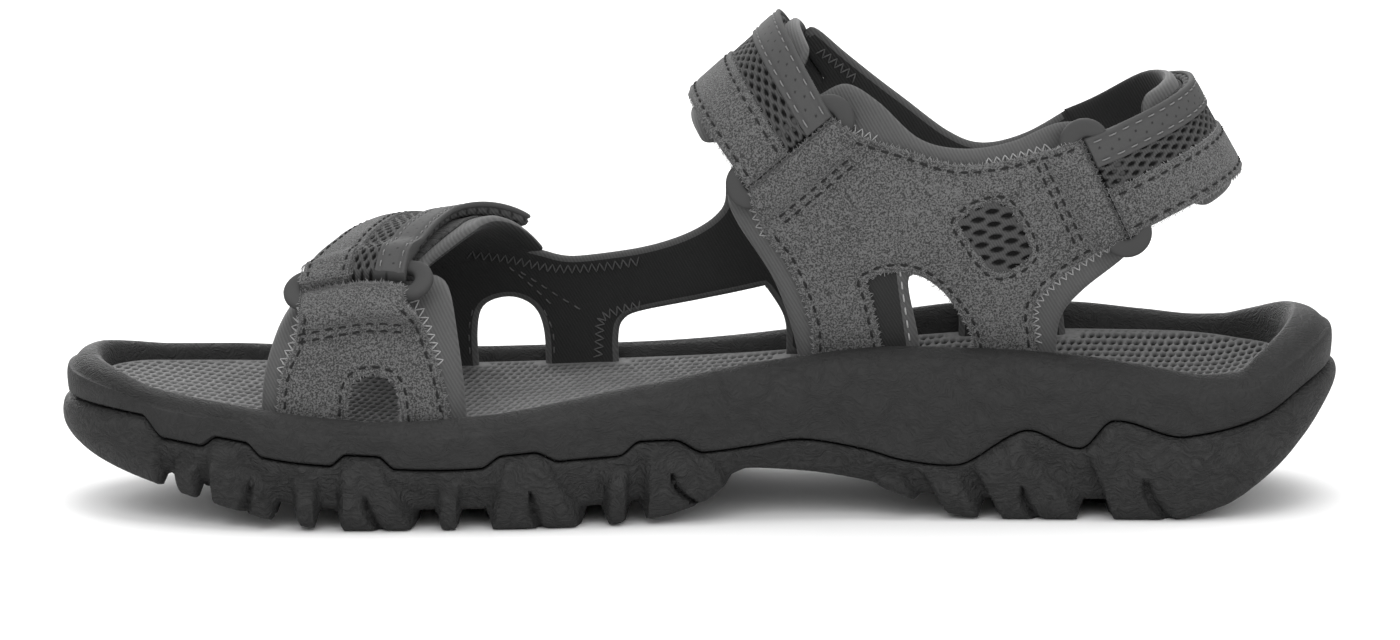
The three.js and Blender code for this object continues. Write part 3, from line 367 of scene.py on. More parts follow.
def spline(points, steps=12):
    """Smooth curve through points, from the first to the last."""
    points = np.array(points, dtype=float)
    padded = np.vstack([points[:1], points, points[-1:]])
    t = np.linspace(0, 1, steps, endpoint=False)[:, None]
    parts = []
    for p0, p1, p2, p3 in zip(padded, padded[1:], padded[2:], padded[3:]):
        v0, v1 = (p2 - p0) / 2, (p3 - p1) / 2
        cubic, square = 2 * p1 - 2 * p2 + v0 + v1, 3 * p2 - 3 * p1 - 2 * v0 - v1
        parts.append(cubic * t**3 + square * t**2 + v0 * t + p1)
    parts.append(points[-1:])
    return np.vstack(parts) if len(points) > 1 else points


def run_of(points):
    """Length of a line from its first point to each of its points."""
    return np.r_[0, np.cumsum(np.linalg.norm(np.diff(points, axis=0), axis=1))]


def spaced(points, step):
    """Points along a line, evenly apart, with both ends kept."""
    run = run_of(points)
    count = max(2, int(round(run[-1] / step)) + 1)
    places = np.linspace(0, run[-1], count)
    return np.column_stack([np.interp(places, run, points[:, k]) for k in range(points.shape[1])])


def unit(vectors):
    """The same directions, one long."""
    return vectors / np.maximum(np.linalg.norm(vectors, axis=-1, keepdims=True), TINY)


def left_of(line, around=False):
    """Way to the left at each point of a flat line, which may run around and close."""
    way = unit(np.roll(line, -1, 0) - np.roll(line, 1, 0) if around else np.gradient(line, axis=0))
    return np.column_stack([-way[:, 1], way[:, 0]])


plan_centre, plan_half = through(PLAN, "centre"), through(PLAN, "half")
rim_medial, rim_lateral = through(RIM, "medial"), through(RIM, "lateral")
bed_medial, bed_lateral = through(RIM, "bed_medial"), through(RIM, "bed_lateral")
bed_dish, crest_inset, wall_inset = through(RIM, "dish"), through(RIM, "crest"), through(RIM, "wall")
tread_tip, tread_depth, low_edge = through(TREAD, "tip"), through(TREAD, "depth"), through(TREAD, "edge")
foot_rise = through(FOOT, "rise")
ankle_front, ankle_back = through(ANKLE, "front", "z"), through(ANKLE, "back", "z")
ankle_medial, ankle_lateral = through(ANKLE, "medial", "z"), through(ANKLE, "lateral", "z")


def round_off(distance, size):
    missing = np.maximum(0, 1 - np.maximum(distance, 0) / size)
    return (1 - missing**ROUND_POWER) ** (1 / ROUND_POWER)


def sole_edge(x, side):
    ends = round_off(x + LENGTH / 2, TOE_ROUND) * round_off(LENGTH / 2 - x, HEEL_ROUND)
    return plan_centre(x) + side * plan_half(x) * ends


# Half width of the blend between the sole's two sides, and number of places that its outline is measured at
SIDE_BLEND, FINE_STATIONS = 14, 4001


def side_share(x, y):
    """0 on the medial side, 1 on the lateral side, blended where the outline crosses at toe and heel."""
    return smooth(y - plan_centre(x), -SIDE_BLEND, SIDE_BLEND)


def wave(x):
    """Top edge of the outsole."""
    humps = 0
    for start, end, lead, trail, rise in zip(*WAVES.values()):
        humps = humps + rise * smooth(x, start, start + lead) * (1 - smooth(x, end - trail, end))
    return low_edge(x) + humps


def tread_base(x):
    return tread_tip(x) + tread_depth(x)


def sole_loop(count):
    """Stations round the sole: toe, medial side, heel, lateral side, with the way out at each."""
    t = np.linspace(0, np.pi, FINE_STATIONS)
    fine = -LENGTH / 2 * np.cos(t)
    half = sole_edge(fine, 1) - plan_centre(fine)
    run = np.r_[0, np.cumsum(np.hypot(np.diff(fine), np.diff(half)))]
    along = np.interp(np.linspace(0, run[-1], count + 1), run, fine)
    x = np.r_[along, along[-2:0:-1]]
    side = np.r_[-np.ones(count + 1), np.ones(count - 1)]
    y = sole_edge(x, side)
    out = np.column_stack([np.roll(y, -1) - np.roll(y, 1), np.roll(x, 1) - np.roll(x, -1)])
    return x, y, unit(out)


def foot_floor(x):
    return (bed_medial(x) + bed_lateral(x)) / 2


def oval(ratio):
    return (1 - np.minimum(np.abs(ratio), 1) ** LAST_POWER) ** (1 / LAST_POWER)


def last_y(x, z, side, offset):
    """Side of the last at a height: the foot's dome in front, the ankle's ovals behind, blended between."""
    above = np.maximum(0, (z - foot_floor(x)) / (foot_rise(x) + offset))
    foot = plan_centre(x) + side * (plan_half(x) - FOOT_INSET + offset) * oval(above)
    middle, reach = (ankle_front(z) + ankle_back(z)) / 2, (ankle_back(z) - ankle_front(z)) / 2
    width = np.where(side < 0, ankle_medial(z), ankle_lateral(z))
    ankle = side * (width * oval((x - middle) / reach) + offset)
    return lerp(foot, ankle, smooth(x, BLEND_FROM, BLEND_TO))


def side_surface(side):
    def surface(x, z, offset):
        return np.stack(np.broadcast_arrays(x, last_y(x, z, side, offset), z), -1)

    return surface


def forefoot_surface(x, angle, offset):
    """Point over the forefoot: 0 degrees is the medial side at the footbed, 90 the top, 180 the far side."""
    turn = np.radians(np.maximum(angle, 0))
    across = np.sign(np.cos(turn)) * np.abs(np.cos(turn)) ** (2 / LAST_POWER)
    up = np.abs(np.sin(turn)) ** (2 / LAST_POWER)
    y = plan_centre(x) - (plan_half(x) - FOOT_INSET + offset) * across
    z = foot_floor(x) + (foot_rise(x) + offset) * up + np.minimum(angle, 0) * BELOW_PER_DEGREE
    return np.stack(np.broadcast_arrays(x, y, z), -1)


def arch_surface(arch):
    """Point on an arched strap: 0 degrees is its medial line, 90 its far reach, 180 its lateral line."""

    def surface(across, angle, offset):
        x, z, way_x, way_z = (lerp(a, b, across) for a, b in zip(arch["low"], arch["high"]))
        length = np.hypot(way_x, way_z)
        reach = length - ARCH_ALLOWANCE + offset
        turn = np.radians(np.clip(angle, 0, 180))
        side = np.where(angle < 90, -1, 1)
        past = np.minimum(np.minimum(angle, 180 - angle), 0) * BELOW_PER_DEGREE
        along = reach * np.abs(np.sin(turn)) ** (2 / ARCH_POWER) + past
        y = last_y(x, z, side, offset) * np.abs(np.cos(turn)) ** (2 / ARCH_POWER)
        return np.stack(np.broadcast_arrays(x + way_x / length * along, y, z + way_z / length * along), -1)

    return surface


def ring_angle(x):
    return lerp(RING_ANGLE_FRONT, RING_ANGLE_REAR, (x - RING_FRONT) / (RING_REAR - RING_FRONT))


def normals(surface, a, b, offset, step=0.05):
    """Way out of a surface at places on it."""
    first = surface(a + step, b, offset) - surface(a - step, b, offset)
    second = surface(a, b + step, offset) - surface(a, b - step, offset)
    out = surface(a, b, offset + 1) - surface(a, b, offset)
    normal = unit(np.cross(first, second))
    return normal * np.where(np.sum(normal * out, -1, keepdims=True) < 0, -1, 1)


# Meshes

# Angle past which an edge stays sharp, in degrees: on cloth, on moulded rubber and plastic, on foam
SHARP_ANGLE, MOULDED_SHARP, FOAM_SHARP = 50, 60, 70
# Distances at which points are joined and slivers taken out, in metres
WELD, SLIVER = 1e-7, 1e-8


def new_piece(
    name, points, faces, skins, slot, nodes=(), uv=None, face_skin=None, shade=None, sharp=SHARP_ANGLE
):
    """Mesh object in place on the frame, closed at shared points, with its faces turned out."""
    mesh = bpy.data.meshes.new(name)
    mesh.from_pydata((np.asarray(points) * MM).tolist(), [], [tuple(face) for face in faces])
    for skin in skins:
        mesh.materials.append(skin)
    if face_skin is not None:
        mesh.polygons.foreach_set("material_index", np.asarray(face_skin, dtype=np.int32))
    if uv is not None:
        layer = mesh.uv_layers.new(name="cloth")
        corner = np.empty(len(mesh.loops), dtype=np.int32)
        mesh.loops.foreach_get("vertex_index", corner)
        layer.data.foreach_set("uv", (np.asarray(uv)[corner] * MM).ravel())
    # Shade attribute: share of each point's colour that goes to the dark tone of painted shade
    if shade is not None:
        depth = mesh.attributes.new("shade", "FLOAT", "POINT")
        depth.data.foreach_set("value", np.asarray(shade, dtype=np.float32))
    bm = bmesh.new()
    bm.from_mesh(mesh)
    bmesh.ops.remove_doubles(bm, verts=bm.verts, dist=WELD)
    bmesh.ops.dissolve_degenerate(bm, edges=bm.edges, dist=SLIVER)
    bmesh.ops.recalc_face_normals(bm, faces=bm.faces)
    bm.to_mesh(mesh)
    bm.free()
    mesh.polygons.foreach_set("use_smooth", np.ones(len(mesh.polygons), dtype=bool))
    if sharp:
        mesh.set_sharp_from_angle(angle=math.radians(sharp))
    obj = bpy.data.objects.new(name, mesh)
    bpy.context.scene.collection.objects.link(obj)
    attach(obj, "root")
    if nodes:
        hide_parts(*nodes)
    return obj


def grid_faces(rows, columns, around=False):
    """Four-sided faces of a grid of points, which may close around its columns."""
    last = columns if around else columns - 1
    i, j = np.meshgrid(np.arange(rows - 1), np.arange(last), indexing="ij")
    k = (j + 1) % columns
    quads = np.stack([i * columns + j, (i + 1) * columns + j, (i + 1) * columns + k, i * columns + k], -1)
    return quads.reshape(-1, 4)


def joined(*parts):
    """One set of points, faces and cloth places from several."""
    points, faces, uv, kinds, start = [], [], [], [], 0
    for part_points, part_faces, part_uv, part_kind in parts:
        points.append(part_points)
        faces.extend([tuple(int(i) + start for i in face) for face in part_faces])
        uv.append(part_uv)
        kinds.append(part_kind)
        start += len(part_points)
    return np.vstack(points), faces, np.vstack(uv), np.concatenate(kinds)


def rounded(distance, radius):
    """Share of the full thickness at a distance from a rounded edge."""
    t = np.clip(1 - distance / radius, 0, 1)
    return np.sqrt(np.maximum(0, 1 - t * t))


def outline_of(runs):
    return np.vstack([spline(run) for run in runs])


def inside(points, loops):
    hit = np.zeros(len(points), dtype=bool)
    for loop in loops:
        x0, z0 = loop[:, 0], loop[:, 1]
        x1, z1 = np.roll(x0, -1), np.roll(z0, -1)
        for a, b, c, d in zip(x0, z0, x1, z1):
            if b != d:
                cross = (b > points[:, 1]) != (d > points[:, 1])
                hit ^= cross & (points[:, 0] < (c - a) * (points[:, 1] - b) / (d - b) + a)
    return hit


def away(points, lines):
    """Distance of each point from a set of lines."""
    best = np.full(len(points), np.inf)
    for line in lines:
        for start, end in zip(line[:-1], line[1:]):
            way = end - start
            length = way @ way
            if length < POINT_LIKE:
                continue
            t = np.clip(((points - start) @ way) / length, 0, 1)
            best = np.minimum(best, np.linalg.norm(points - start - t[:, None] * way, axis=1))
    return best


def closed(loop):
    return np.vstack([loop, loop[:1]])


# Points that fill a flat panel: height of a row and room to the rows along its edges, as shares of spacing
ROW_HEIGHT, FILL_ROOM = 0.87, 0.45
# Share of its inset that a row along an edge keeps from all edges, and distance at which points are joined
RIM_ROOM, FLAT_WELD = 0.9, 1e-5


def flat_mesh(loops, spacing, rims):
    """Triangles over an outline with holes: even points inside, and rows of points along its edges."""
    edges, points = [], []
    count = 0
    for loop in loops:
        line = spaced(closed(loop), spacing)[:-1]
        points.append(line)
        edges += [(count + k, count + (k + 1) % len(line)) for k in range(len(line))]
        count += len(line)
    borders = [closed(line) for line in points]
    low, high = loops[0].min(0), loops[0].max(0)
    across = np.arange(low[0], high[0], spacing)
    up = np.arange(low[1], high[1], spacing * ROW_HEIGHT)
    fill = np.array([(x + (k % 2) * spacing / 2, z) for k, z in enumerate(up) for x in across])
    fill = fill[inside(fill, loops)]
    fill = fill[away(fill, borders) > max(rims) + spacing * FILL_ROOM]
    for line in list(points):
        left = left_of(line, around=True)
        for sign in (-1, 1):
            for rim in rims:
                row = line + sign * rim * left
                row = row[inside(row, loops)]
                points.append(row[away(row, borders) > rim * RIM_ROOM])
    points.append(fill)
    places = [Vector(place) for place in np.vstack(points)]
    verts, _, faces, *_ = delaunay_2d_cdt(places, edges, [], 0, FLAT_WELD)
    verts, faces = np.array([tuple(v) for v in verts]), np.array([tuple(face) for face in faces])
    keep = inside(verts[faces].mean(1), loops)
    return verts, faces[keep], away(verts, borders)


# Materials of a sheet's faces
FACE, UNDER, OVERLAY = 0, 1, 2
# Share of a sheet's thickness below its widest line, and rows of points over its rounded edge
WIDEST, EDGE_ROWS = 0.4, (0.12, 0.4, 0.85)
# Softness of an overlay's edge, and how far its material reaches past that edge
OVERLAY_SOFT, OVERLAY_MARGIN = 0.3, 0.4


def level(value, a, b):
    """Distance out of the last at places: worked out from them, or the same for all."""
    return value(a, b) if callable(value) else np.full(np.shape(a), float(value))


def layers(a, b, inner, outer, full, relief):
    """Distances out of a sheet's top and underside, where full is 1 away from its rounded edges."""
    low, high = level(inner, a, b), level(outer, a, b)
    middle = low + (high - low) * WIDEST
    top = middle + (high - middle) * full + (relief(a, b) * full if relief else 0)
    return top, middle - (middle - low) * full


def panel(loops, surface, inner, outer, radius, spacing, relief=None, overlay=None, roll=0):
    """Cut sheet on a surface: its thickness runs from inner to outer and rounds off at its edges.

    An overlay is a second sheet on its outer face, given by its inset from the edge and its thickness.
    The outer sheet rolls over the edge and covers a strip of the inner face.
    """
    rims = [radius * share for share in EDGE_ROWS]
    if overlay:
        inset, thick = overlay
        rims += [inset - OVERLAY_SOFT, inset + OVERLAY_SOFT]
    flat, faces, distance = flat_mesh(loops, spacing, rims)
    a, b = flat[:, 0], flat[:, 1]
    top, under = layers(a, b, inner, outer, rounded(distance, radius), relief)
    kinds = np.repeat([FACE, UNDER], len(faces))
    kinds[len(faces) :][distance[faces].max(1) < roll] = FACE
    if overlay:
        top = top + thick * smooth(distance, inset - OVERLAY_SOFT, inset + OVERLAY_SOFT)
        kinds[: len(faces)][distance[faces].min(1) > inset - OVERLAY_MARGIN] = OVERLAY
    points = np.vstack([surface(a, b, top), surface(a, b, under)])
    both = np.vstack([faces, faces[:, ::-1] + len(a)])
    return points, both, np.vstack([flat, flat]), kinds


def band(surface, across, along, inner, outer, radius, width, length, relief=None):
    """Strap over a surface: a grid with edges rounded off on all four sides."""
    u, v = np.meshgrid(across, along, indexing="ij")
    edge = np.minimum(np.minimum(u, 1 - u) * width, np.minimum(v, 1 - v) * length)
    top, under = layers(u, v, inner, outer, rounded(edge, radius), relief)
    faces = grid_faces(len(across), len(along))
    points = np.vstack([surface(u, v, top).reshape(-1, 3), surface(u, v, under).reshape(-1, 3)])
    flat = np.column_stack([u.ravel() * width, v.ravel() * length])
    kinds = np.repeat([FACE, UNDER], len(faces))
    return points, np.vstack([faces, faces[:, ::-1] + u.size]), np.vstack([flat, flat]), kinds


# Places over an eased end, as shares of it
EASED_END = np.array([0, 0.06, 0.22, 0.5, 1])


def eased(count, edge):
    """Places from 0 to 1, closer together within an edge of both ends."""
    ends = edge * EASED_END
    return np.r_[ends, np.linspace(edge, 1 - edge, count)[1:-1], 1 - ends[::-1]]


# Slanting direction that a thread's sides are found from, their number, share of its radius at both tips
ASIDE, THREAD_SIDES, THREAD_TIP = np.array([0.31, 0.53, 0.79]), 5, 0.45


def threads(lines, radius, sides):
    """Thin round threads along short lines of points, closed at both ends."""
    turn = np.linspace(0, 2 * np.pi, sides, endpoint=False)[:, None]
    points, faces, start = [], [], 0
    for line in lines:
        tangent = unit(np.gradient(line, axis=0))
        side = unit(np.cross(tangent, ASIDE))
        up = np.cross(tangent, side)
        size = np.full((len(line), 1, 1), radius)
        size[[0, -1]] *= THREAD_TIP
        rings = line[:, None] + size * (np.cos(turn) * side[:, None] + np.sin(turn) * up[:, None])
        points.append(rings.reshape(-1, 3))
        faces += [tuple(int(i) for i in quad) for quad in grid_faces(len(line), sides, True) + start]
        faces.append(tuple(range(start, start + sides)))
        faces.append(tuple(range(start + sides * len(line) - 1, start + sides * (len(line) - 1) - 1, -1)))
        start += len(line) * sides
    return np.vstack(points), faces


def sew(name, lines, radius, skin, slot, sides=THREAD_SIDES):
    """Piece of all the threads along a set of lines."""
    points, faces = threads(lines, radius, sides)
    new_piece(name, points, faces, [finish(skin)], slot)


# Stitches: step of the line that they follow, points along each, rise and depth of its ends in threads
SEAM_STEP, STITCH_POINTS, STITCH_RISE, STITCH_SINK = 0.4, 6, 2.0, 1.3


def stitches(surface, line, offset, sizes, face=1):
    """Lines of one row of stitches: each dips into the panel at both ends."""
    line = spaced(line, SEAM_STEP)
    run = run_of(surface(line[:, 0], line[:, 1], SUEDE[1]))
    pitch = sizes.stitch_length + sizes.stitch_gap
    t = np.linspace(0, 1, STITCH_POINTS)
    bow = face * sizes.thread * (STITCH_RISE * np.sin(np.pi * t) ** 0.5 - STITCH_SINK)
    rows = []
    for start in np.arange(sizes.stitch_gap / 2, run[-1] - sizes.stitch_length, pitch):
        place = start + t * sizes.stitch_length
        a, b = np.interp(place, run, line[:, 0]), np.interp(place, run, line[:, 1])
        high = level(offset, a, b)
        rows.append(surface(a, b, high) + normals(surface, a, b, high) * bow[:, None])
    return rows


# Overlock: distance between two threads, points along each, and share of its reach behind the edge
OVERLOCK_PITCH, OVERLOCK_POINTS, OVERLOCK_BACK = 1.9, 4, 0.2


def zigzag(surface, line, offset, reach, lift=0.15):
    """Lines of an overlock row: threads to and fro between an edge and a reach beyond it."""
    line = spaced(line, OVERLOCK_PITCH / 2)
    far = np.where(np.arange(len(line)) % 2, reach, -OVERLOCK_BACK * reach)
    ends = line + left_of(line) * far[:, None]
    rows = []
    for start, end in zip(ends, ends[1:]):
        a, b = lerp(start, end, np.linspace(0, 1, OVERLOCK_POINTS)[:, None]).T
        rows.append(surface(a, b, offset) + normals(surface, a, b, offset) * lift)
    return rows


def inset_line(runs, distance, step=0.8):
    """Line along runs of an outline, moved sideways."""
    line = spaced(outline_of(runs), step)
    return line + distance * left_of(line)


# Materials


def linear(value):
    """Linear value of a display tone from 0 to 255."""
    share = value / 255
    return share / 12.92 if share <= 0.04045 else ((share + 0.055) / 1.055) ** 2.4


class Nodes:
    """Small helper that adds nodes to a tree and joins them."""

    def __init__(self, tree):
        self.tree = tree

    def add(self, kind, settings=None, **inputs):
        node = self.tree.nodes.new("ShaderNode" + kind)
        for name, value in (settings or {}).items():
            setattr(node, name, value)
        for name, value in inputs.items():
            self.put(node.inputs[int(name[1:]) if name[0] == "_" else name.replace("_", " ")], value)
        return node

    def put(self, socket, value):
        if isinstance(value, bpy.types.NodeSocket):
            self.tree.links.new(value, socket)
        else:
            socket.default_value = value

    def math(self, operation, first, second):
        return self.add("Math", {"operation": operation}, _0=first, _1=second).outputs[0]

    def plus(self, first, second):
        return self.math("ADD", first, second)

    def times(self, first, second):
        return self.math("MULTIPLY", first, second)

    def mix(self, share, first, second):
        return self.add("Mix", {"data_type": "RGBA"}, _0=share, _6=first, _7=second).outputs[2]

    def ramp(self, value, low, high):
        soft = {"interpolation_type": "SMOOTHSTEP"}
        return self.add("MapRange", soft, Value=value, From_Min=low, From_Max=high).outputs[0]

    def noise(self, place, scale, detail, **more):
        return self.add("TexNoise", Vector=place, Scale=scale, Detail=detail, **more).outputs["Fac"]


def finish_group(name, **values):
    """Shader node group with its sockets: two tones and some values in; colour, roughness and height out."""
    group = bpy.data.node_groups.new(name, "ShaderNodeTree")
    for label in ("Colour", "Pale"):
        group.interface.new_socket(label, in_out="INPUT", socket_type="NodeSocketColor")
    for label, value in values.items():
        socket = group.interface.new_socket(label, in_out="INPUT", socket_type="NodeSocketFloat")
        socket.default_value = value
    for label, kind in (("Colour", "Color"), ("Roughness", "Float"), ("Height", "Float")):
        group.interface.new_socket(label, in_out="OUTPUT", socket_type="NodeSocket" + kind)
    given, result = group.nodes.new("NodeGroupInput").outputs, group.nodes.new("NodeGroupOutput").inputs
    return group, Nodes(group), given, result


def put_out(n, given, result, share, roughness, height):
    """Joins a finish's colour, mixed from its two tones, its roughness and its height to the outputs."""
    n.put(result["Colour"], n.mix(share, given["Colour"], given["Pale"]))
    n.put(result["Roughness"], roughness)
    n.put(result["Height"], height)


def grain_group():
    """Uneven grain: fine mottling, broad patches and a height, for suede, footbed, pile, trim and rings."""
    group, n, given, result = finish_group("grain", Size=1000.0, Patches=0.3, Contrast=0.5)
    place = n.add("TexCoord").outputs["Object"]
    fine = n.noise(place, given["Size"], 3.0, Roughness=0.7)
    broad = n.noise(place, 45.0, 3.0)
    patch = n.times(n.math("SUBTRACT", broad, 0.5), given["Patches"])
    spread = n.times(n.math("SUBTRACT", n.ramp(fine, 0.28, 0.72), 0.5), given["Contrast"])
    share = n.plus(n.plus(0.5, spread), patch)
    put_out(n, given, result, share, n.plus(0.72, n.times(fine, 0.3)), fine)
    return group


def moulded_skin_group():
    """Moulded leathery skin: small cells joined by creases, with broad scuffs and painted shade, for rubber
    and foam.
    """
    group, n, given, result = finish_group("moulded_skin", Size=900.0, Creases=0.5)
    place = n.add("TexCoord").outputs["Object"]
    bend = n.add("TexNoise", Vector=place, Scale=120.0, Detail=2.0).outputs["Color"]
    swirl = n.add("VectorMath", {"operation": "MULTIPLY_ADD"}, _0=bend, _1=(0.012,) * 3, _2=place).outputs[0]
    stretch = n.add("Mapping", Vector=swirl, Rotation=(0.0, 0.6, 0.0), Scale=(0.45, 0.7, 1.5)).outputs[0]
    cells = n.noise(stretch, given["Size"], 2.0, Roughness=0.6)
    scuff = n.noise(place, 70.0, 6.0, Roughness=0.7)
    fine = n.noise(place, 2400.0, 2.0)
    worn = n.plus(n.times(n.ramp(scuff, 0.42, 0.75), 0.25), n.times(fine, 0.3))
    # Painted shade and highlight: darker in the creases and paler on the raised cells, following the bump
    share = n.plus(worn, n.times(n.ramp(cells, 0.38, 0.66), given["Creases"]))
    height = n.plus(cells, n.times(fine, 0.25))
    put_out(n, given, result, share, n.plus(0.5, n.times(scuff, 0.3)), height)
    return group


def twill_group():
    """Fine twill: slanting ribs with uneven yarn, for lining, knit and thread."""
    group, n, given, result = finish_group("twill", Ribs=300.0)
    place = n.add("TexCoord").outputs["Object"]
    turned = n.add("Mapping", Vector=place, Rotation=(0.3, 0.5, 0.2)).outputs[0]
    bands = {"wave_type": "BANDS"}
    waves = n.add("TexWave", bands, Vector=turned, Scale=given["Ribs"], Distortion=0.6, Detail=1.0)
    ribs = waves.outputs["Fac"]
    yarn = n.noise(place, 1500.0, 3.0)
    broad = n.noise(place, 60.0, 2.0)
    share = n.plus(n.times(ribs, 0.32), n.times(n.plus(yarn, broad), 0.34))
    height = n.plus(n.times(ribs, 0.6), n.times(yarn, 0.5))
    put_out(n, given, result, share, n.plus(0.7, n.times(yarn, 0.25)), height)
    return group


GROUP_MAKERS = {"grain": grain_group, "moulded_skin": moulded_skin_group, "twill": twill_group}
GROUPS = {}
SHEEN_ROUGHNESS = 0.5


def material(name, group, dark, pale, bump, sheen=0.0, specular=0.4, hollow=None, **values):
    """Material of one finish: a shared node group with its own tones, a bump, a sheen and painted shade."""
    if group not in GROUPS:
        GROUPS[group] = GROUP_MAKERS[group]()
    made = bpy.data.materials.new(name)
    made.use_nodes = True
    made.diffuse_color = (*dark, 1)
    n = Nodes(made.node_tree)
    shader = made.node_tree.nodes["Principled BSDF"]
    skin = made.node_tree.nodes.new("ShaderNodeGroup")
    skin.node_tree = GROUPS[group]
    for label, value in {"Colour": (*dark, 1), "Pale": (*pale, 1), **values}.items():
        skin.inputs[label].default_value = value
    relief = n.add("Bump", Height=skin.outputs["Height"], Distance=bump * MM, Strength=1.0)
    tint = skin.outputs["Colour"]
    # Painted shade: the shade attribute darkens the colour towards a dark tone, in hollows and where a piece
    # is darker
    if hollow is not None:
        painted_shade = n.add("Attribute", {"attribute_name": "shade"}).outputs["Fac"]
        tint = n.mix(painted_shade, tint, (*hollow, 1))
    n.put(shader.inputs["Base Color"], tint)
    n.put(shader.inputs["Roughness"], skin.outputs["Roughness"])
    n.put(shader.inputs["Normal"], relief.outputs[0])
    shader.inputs["Sheen Weight"].default_value = sheen
    shader.inputs["Sheen Roughness"].default_value = SHEEN_ROUGHNESS
    shader.inputs["Specular IOR Level"].default_value = specular
    return made


def recipe(group, colour_name, low, high, bump, **more):
    """How a finish is made: node group, colour, its darkest and palest share, depth of bump, and the rest."""
    return {"group": group, "colour": colour_name, "low": low, "high": high, "bump": bump, "more": more}


# Finishes that take painted shade give its dark tone as a share of their colour
RECIPES = {
    "rubber": recipe("moulded_skin", "outsole", 0.6, 1.7, 0.9, specular=0.3, Size=900.0, Creases=0.55),
    "foam": recipe("moulded_skin", "midsole", 0.75, 1.5, 0.5, specular=0.25, Size=1300.0, Creases=0.3),
    "footbed_skin": recipe(
        "grain", "footbed", 0.7, 1.35, 0.05, specular=0.2, hollow=0.03, Size=900.0, Patches=0.5
    ),
    "suede_nap": recipe(
        "grain", "suede", 0.42, 1.65, 0.35, sheen=0.1, specular=0.06, Size=2500.0, Patches=0.7, Contrast=2.2
    ),
    "lining_face": recipe("twill", "lining", 0.6, 1.4, 0.1, sheen=0.15, specular=0.15, Ribs=440.0),
    "lining_inside": recipe("twill", "inside", 0.6, 1.5, 0.12, sheen=0.08, specular=0.15, Ribs=470.0),
    "knit_yarn": recipe("twill", "mesh", 0.5, 1.6, 0.15, specular=0.2, hollow=0.05, Ribs=520.0),
    "loop_pile": recipe(
        "grain", "pile", 0.3, 2.2, 0.5, sheen=0.1, specular=0.08, Size=600.0, Patches=0.4, Contrast=1.2
    ),
    "trim_skin": recipe(
        "grain", "trim", 0.85, 1.15, 0.03, specular=0.35, hollow=0.15, Size=2200.0, Patches=0.4
    ),
    "ring_gloss": recipe(
        "grain", "ring", 0.8, 1.2, 0.02, specular=0.45, Size=500.0, Patches=0.6, Contrast=0.3
    ),
    "fibre": recipe("grain", "suede", 1.5, 3.2, 0.02, specular=0.1, Size=900.0),
    "thread_dark": recipe("twill", "thread", 0.4, 1.6, 0.03, specular=0.3, Ribs=2500.0),
    "thread_trim": recipe("twill", "thread_trim", 0.6, 1.4, 0.03, specular=0.3, Ribs=2500.0),
    "thread_inside": recipe("twill", "thread_inside", 0.6, 1.4, 0.03, specular=0.2, Ribs=2500.0),
    "thread_pale": recipe("twill", "thread_pale", 0.6, 1.4, 0.03, specular=0.3, Ribs=2500.0),
}
MADE = {}


def finish(name):
    """Material of one finish, made the first time that it is asked for."""
    if name not in MADE:
        how = RECIPES[name]
        mean = np.array(getattr(bpy.context.scene.sandal_colours, how["colour"]))
        more = dict(how["more"])
        # The dark tone that painted shade goes to, as a share of the mean colour
        if "hollow" in more:
            more["hollow"] = tuple(mean * more["hollow"])
        dark, pale = tuple(mean * how["low"]), tuple(mean * how["high"])
        MADE[name] = material(name, how["group"], dark, pale, how["bump"], **more)
    return MADE[name]


# Sizes and colours that can be changed


def colour(name, value, text):
    """Colour property, from a grey display tone."""
    grey = (linear(value),) * 3
    return FloatVectorProperty(
        name=name, description=text, subtype="COLOR", size=3, min=0, max=1, default=grey
    )


def millimetres(name, value, low, text):
    """Length property, in millimetres."""
    return FloatProperty(name=name, description=text + ", in millimetres", default=value, min=low)


class SandalColours(bpy.types.PropertyGroup):
    outsole: colour("Outsole", 29, "Mean colour of the rubber outsole")
    midsole: colour("Midsole", 34, "Mean colour of the foam midsole")
    footbed: colour("Footbed", 108, "Mean colour of the footbed")
    suede: colour("Suede", 80, "Mean colour of the suede panels")
    lining: colour("Lining", 74, "Mean colour of the lining's outer face")
    inside: colour("Inside", 37, "Mean colour of the lining's inner face")
    mesh: colour("Mesh", 62, "Mean colour of the knit mesh")
    trim: colour("Trim", 65, "Mean colour of the smooth trim")
    ring: colour("Rings", 55, "Mean colour of the rings")
    thread: colour("Thread", 28, "Colour of the sewing thread on the suede")
    pile: colour("Loop pile", 34, "Mean colour of the fastening's loop pile")
    thread_trim: colour("Trim thread", 112, "Colour of the sewing thread on the trim")
    thread_inside: colour("Inner thread", 84, "Colour of the sewing thread on the inner lining")
    thread_pale: colour("Overlock thread", 150, "Colour of the zigzag thread at the lining's edges")


class SandalSizes(bpy.types.PropertyGroup):
    stitch_length: millimetres("Stitch", 2.0, 0.5, "Length of one stitch")
    stitch_gap: millimetres("Gap", 1.1, 0.2, "Space between two stitches")
    thread: millimetres("Thread", 0.3, 0.05, "Radius of the sewing thread")
    groove: millimetres("Groove", 0.8, 0, "Depth of the footbed's grooves")
    stations: IntProperty(
        name="Stations", description="Places along each side of the sole", default=440, min=60
    )


# Pieces


def rings_of(loop, rows):
    """Rings round the sole: each row gives an inset from the outline and a height."""
    x, y, out = loop
    points = []
    for inset, height in rows:
        points.append(np.column_stack([x - out[:, 0] * inset, y - out[:, 1] * inset, height]))
    return np.array(points)


def smooth_rows(rows, steps):
    """Rings between given rings, on smooth curves through them."""
    rows = np.array(rows)
    count, _, stations = rows.shape
    flat = rows.reshape(count, -1)
    return spline(flat, steps).reshape(-1, 2, stations)


